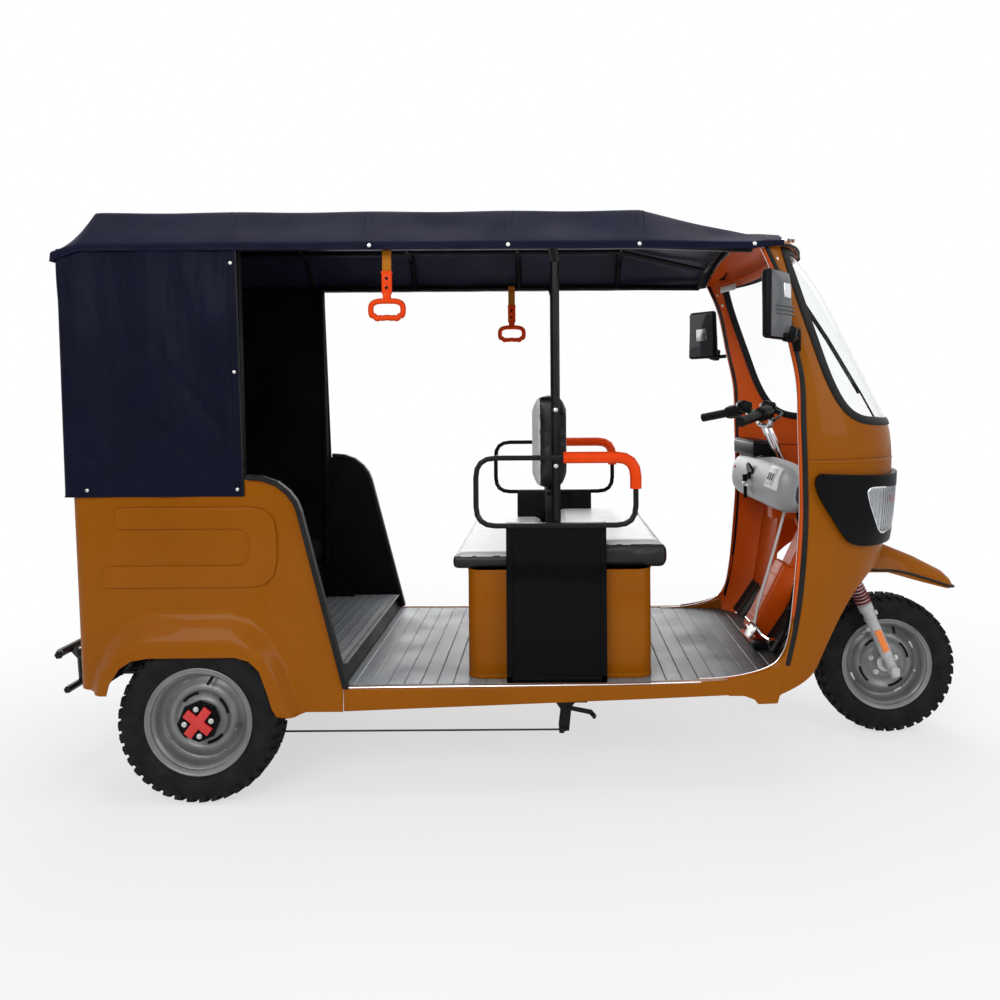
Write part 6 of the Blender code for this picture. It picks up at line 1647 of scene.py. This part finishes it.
# %% Grab handles
def grip_line(middle, wide, high, count=44):
    line = []
    for k in range(count):
        a = 2 * math.pi * k / count
        c, s = math.cos(a), math.sin(a)
        x = math.copysign(abs(c) ** 0.62, c) * wide
        z = math.copysign(abs(s) ** 0.62, s) * high
        if s < -0.3:
            z += 0.0035 * math.cos(5 * math.pi * x / wide)
        line.append((middle[0] + x, middle[1], middle[2] + z))
    return line


for side, x, y, z in (("left", -0.079, 0.4575, 1.54), ("right", -0.438, -0.4575, 1.544)):
    ring = tube("grip_ring", grip_line((x, y, z), 0.052, 0.028), 0.0092, 12, cyclic=True)
    neck = block("neck", (x, y, z + 0.044), (0.026, 0.013, 0.026), bevel=0.004)
    buckle = block("buckle", (x, y, z + 0.086), (0.033, 0.011, 0.074), bevel=0.004, segments=3)
    window = block("buckle_edge", (x, y, z + 0.12), (0.036, 0.014, 0.008), bevel=0.0025)
    add(joined("grab_ring_" + side, ring, neck, buckle, window), cover_orange, "orange_plastic", "body",
        "grab_handle_" + side)
    rivets = []
    for dz in (0.07, 0.1):
        rivets.append(disc("rivet", (x, y - 0.007, z + dz), (x, y + 0.007, z + dz), 0.0052, 18, 0.0008))
    add(joined("grab_rivets_" + side, *rivets), moulded, "black_plastic", "body")
    top = 1.747
    strap = block("strap", (x, y, (z + 0.118 + top) / 2), (0.029, 0.0044, top - z - 0.118), bevel=0.0012)
    fold_over = block("strap_fold", (x, y, top - 0.006), (0.029, 0.012, 0.012), bevel=0.003)
    edges = [block("strap_edge", (x + k * 0.0125, y, (z + 0.118 + top) / 2), (0.0016, 0.0054, top - z - 0.118),
                   bevel=0.0004) for k in (-1, 1)]
    add(joined("grab_strap_" + side, strap, fold_over, *edges), strap_ochre, "ochre_paint", "body")
print("handles done")

# %% [markdown]
# The armrest tubes carry the posts: a round-headed bolt sits where each post crosses the upper and
# the lower tube. Under the floor hangs the bracket of the brake lever.

# %% Post bolts and lever bracket
post_bolts = []
for sign in (-1, 1):
    for z in (1.038, 1.218):
        post_bolts.append(disc("post_bolt", (0.102, sign * 0.459, z), (0.102, sign * 0.465, z), 0.0085, 20,
                               0.0016, top=0.0066))
add(joined("post_bolts", *post_bolts), zinc, "silver_paint", "body")
LEVER_PLATE = [(0.091, 0.284), (0.177, 0.284), (0.161, 0.26), (0.147, 0.244), (0.131, 0.18), (0.121, 0.158),
               (0.107, 0.16), (0.105, 0.19), (0.111, 0.238), (0.095, 0.262)]
LEVER_ARM = [(0.143, 0.246), (0.215, 0.232), (0.231, 0.212), (0.219, 0.206), (0.205, 0.218), (0.141, 0.232)]
LEVER_PINS = [(0.115, 0.168), (0.137, 0.24), (0.221, 0.214), (0.105, 0.272), (0.163, 0.272)]
bits = [slab(name, [(x, y, z) for x, z in line], (0, thick, 0), 0.001)
        for name, line, y, thick in (("lever_plate", LEVER_PLATE, -0.412, 0.006),
                                     ("lever_arm", LEVER_ARM, -0.406, 0.005))]
bits += [disc("pin", (x, -0.418, z), (x, -0.396, z), 0.0065, 16, 0.001) for x, z in LEVER_PINS]
add(joined("lever_bracket", *bits), black_tube, "black_paint", "body")
print("bolts and bracket done")

# %% [markdown]
# The fork gets its details along its own axis: a sleeve over each lower leg, a ribbed dark red
# gaiter at its top, two lugs and a long orange reflector. They all turn with the steering.

# %% Fork fittings
def on_fork(rise, side, forward=0.045):
    return FORK_FOOT + FORK_UP * rise + FORK_FORE * forward + Vector((0, side, 0))


sleeves = []
gaiters = []
reflectors = []
for sign in (-1, 1):
    y = sign * 0.096
    for name, low, high, radius, bevel in (("sleeve", 0.03, 0.236, 0.0215, 0.0025),
                                           ("collar", 0.212, 0.24, 0.0262, 0.003),
                                           ("ring", 0.178, 0.186, 0.024, 0.002)):
        sleeves.append(disc(name, on_fork(low, y), on_fork(high, y), radius, 28, bevel))
    for rise, forward in ((0.196, 0.07), (0.15, 0.022)):
        spot = on_fork(rise, y, forward)
        sleeves.append(disc("lug", spot - FORK_UP * 0.008, spot + FORK_UP * 0.008, 0.0085, 16, 0.002))
    for k in range(7):
        gaiters.append(disc("fold", on_fork(0.246 + 0.012 * k, y), on_fork(0.2545 + 0.012 * k, y),
                            0.0292 - 0.0006 * k, 28, 0.0034))
    gaiters.append(disc("gaiter", on_fork(0.244, y), on_fork(0.33, y), 0.021, 24, 0.002))
    reflectors.append(block("reflector", on_fork(0.098, y + sign * 0.0225), (0.024, 0.006, 0.084), bevel=0.0018,
                            turn=-23.3))
add(joined("fork_sleeves", *sleeves), fork_grey, "silver_paint", "steering")
add(joined("fork_gaiters", *gaiters), gaiter_red, "red_plastic", "steering")
add(joined("fork_reflectors", *reflectors), amber, "orange_plastic", "steering")

# %% [markdown]
# The front mudguard is shaded smoothly and has a black rubber strip along its lower edge.

# %% Front mudguard
guard_skin = leading_faces(copied("front_mudguard", "mudguard_skin"), 32)
add(guard_skin, ochre, "ochre_paint", "steering", "front_mudguard")
GUARD_EDGE = [(0.086, 0.366, 0.07), (0.12, 0.335, 0.0735), (0.215, 0.297, 0.0775), (0.307, 0.219, 0.0775),
              (0.372, 0.16, 0.069), (0.389, 0.147, 0.052)]
strip_line = [on_fork(rise, -half, forward) for forward, rise, half in GUARD_EDGE]
strip_line += [on_fork(0.1455, y, 0.3925) for y in (-0.028, 0.0, 0.028)]
strip_line += [on_fork(rise, half, forward) for forward, rise, half in reversed(GUARD_EDGE)]
add(tube("mudguard_strip", strip_line, 0.0046, 10), rubber, "rubber", "steering")
print("fork and mudguard done")

# %% [markdown]
# The wheel discs have dark stamped slots, short arcs round the hub, and a black valve.

# %% Wheel slots
SLOT_HALF = math.radians(19)
for side, centre, out, body, radius, rise in (
        ("front_right", AXLE_FRONT, -1, "front_wheel", 0.092, 0.0168),
        ("front_left", AXLE_FRONT, 1, "front_wheel", 0.092, 0.0168),
        *[("rear_" + side, centre, sign, body, 0.08, 0.0095) for side, sign, body, centre in reversed(REAR_WHEELS)]):
    arcs = []
    for k in range(4):
        angles = [math.radians(90 * k + 30) + SLOT_HALF * (n / 4 - 1) for n in range(9)]
        arcs.append(tube("slot", [centre + Vector((radius * math.cos(a), out * rise, radius * math.sin(a)))
                                  for a in angles], 0.0048, 8))
    add(joined("wheel_slots_" + side, *arcs), moulded, "black_plastic", body)
    stem = disc("wheel_valve_" + side, centre + Vector((0.034, out * 0.02, 0.131)),
                centre + Vector((0.03, out * 0.046, 0.117)), 0.0046, 14, 0.0006)
    add(stem, rubber, "rubber", body)

# %% [markdown]
# The rear step has a ribbed mat of its own and a bright metal nosing; a bright strip also runs along
# the top of each sill, where shoes have worn the paint.

# %% Step mat and sill strips
step_parts = [block("step_mat", (-0.74, 0, 0.4068), (0.29, 0.9, 0.003), bevel=0.001)]
for k in range(8):
    step_parts.append(block("step_rib", (-0.868 + 0.036 * k, 0, 0.4088), (0.009, 0.896, 0.003), bevel=0.001))
add(joined("step_mat", *step_parts), mat_grey, "rubber", "body")
add(block("step_nosing", (-0.586, 0, 0.406), (0.02, 0.9, 0.004), bevel=0.0015), step_edge, "silver_paint", "body")
sill = tube("sill_strip", [(-0.56, -0.5, 0.3445), (0.0, -0.493, 0.3445), (0.4, -0.4865, 0.3445),
                           (0.56, -0.476, 0.3455)], 0.0022, 8)
add(both_sides(sill), bright_strip, "silver_paint", "body")
print("small parts done")

# %% [markdown]
# The last cell clears the selection.

# %% Clear the selection
bpy.ops.object.select_all(action="DESELECT")
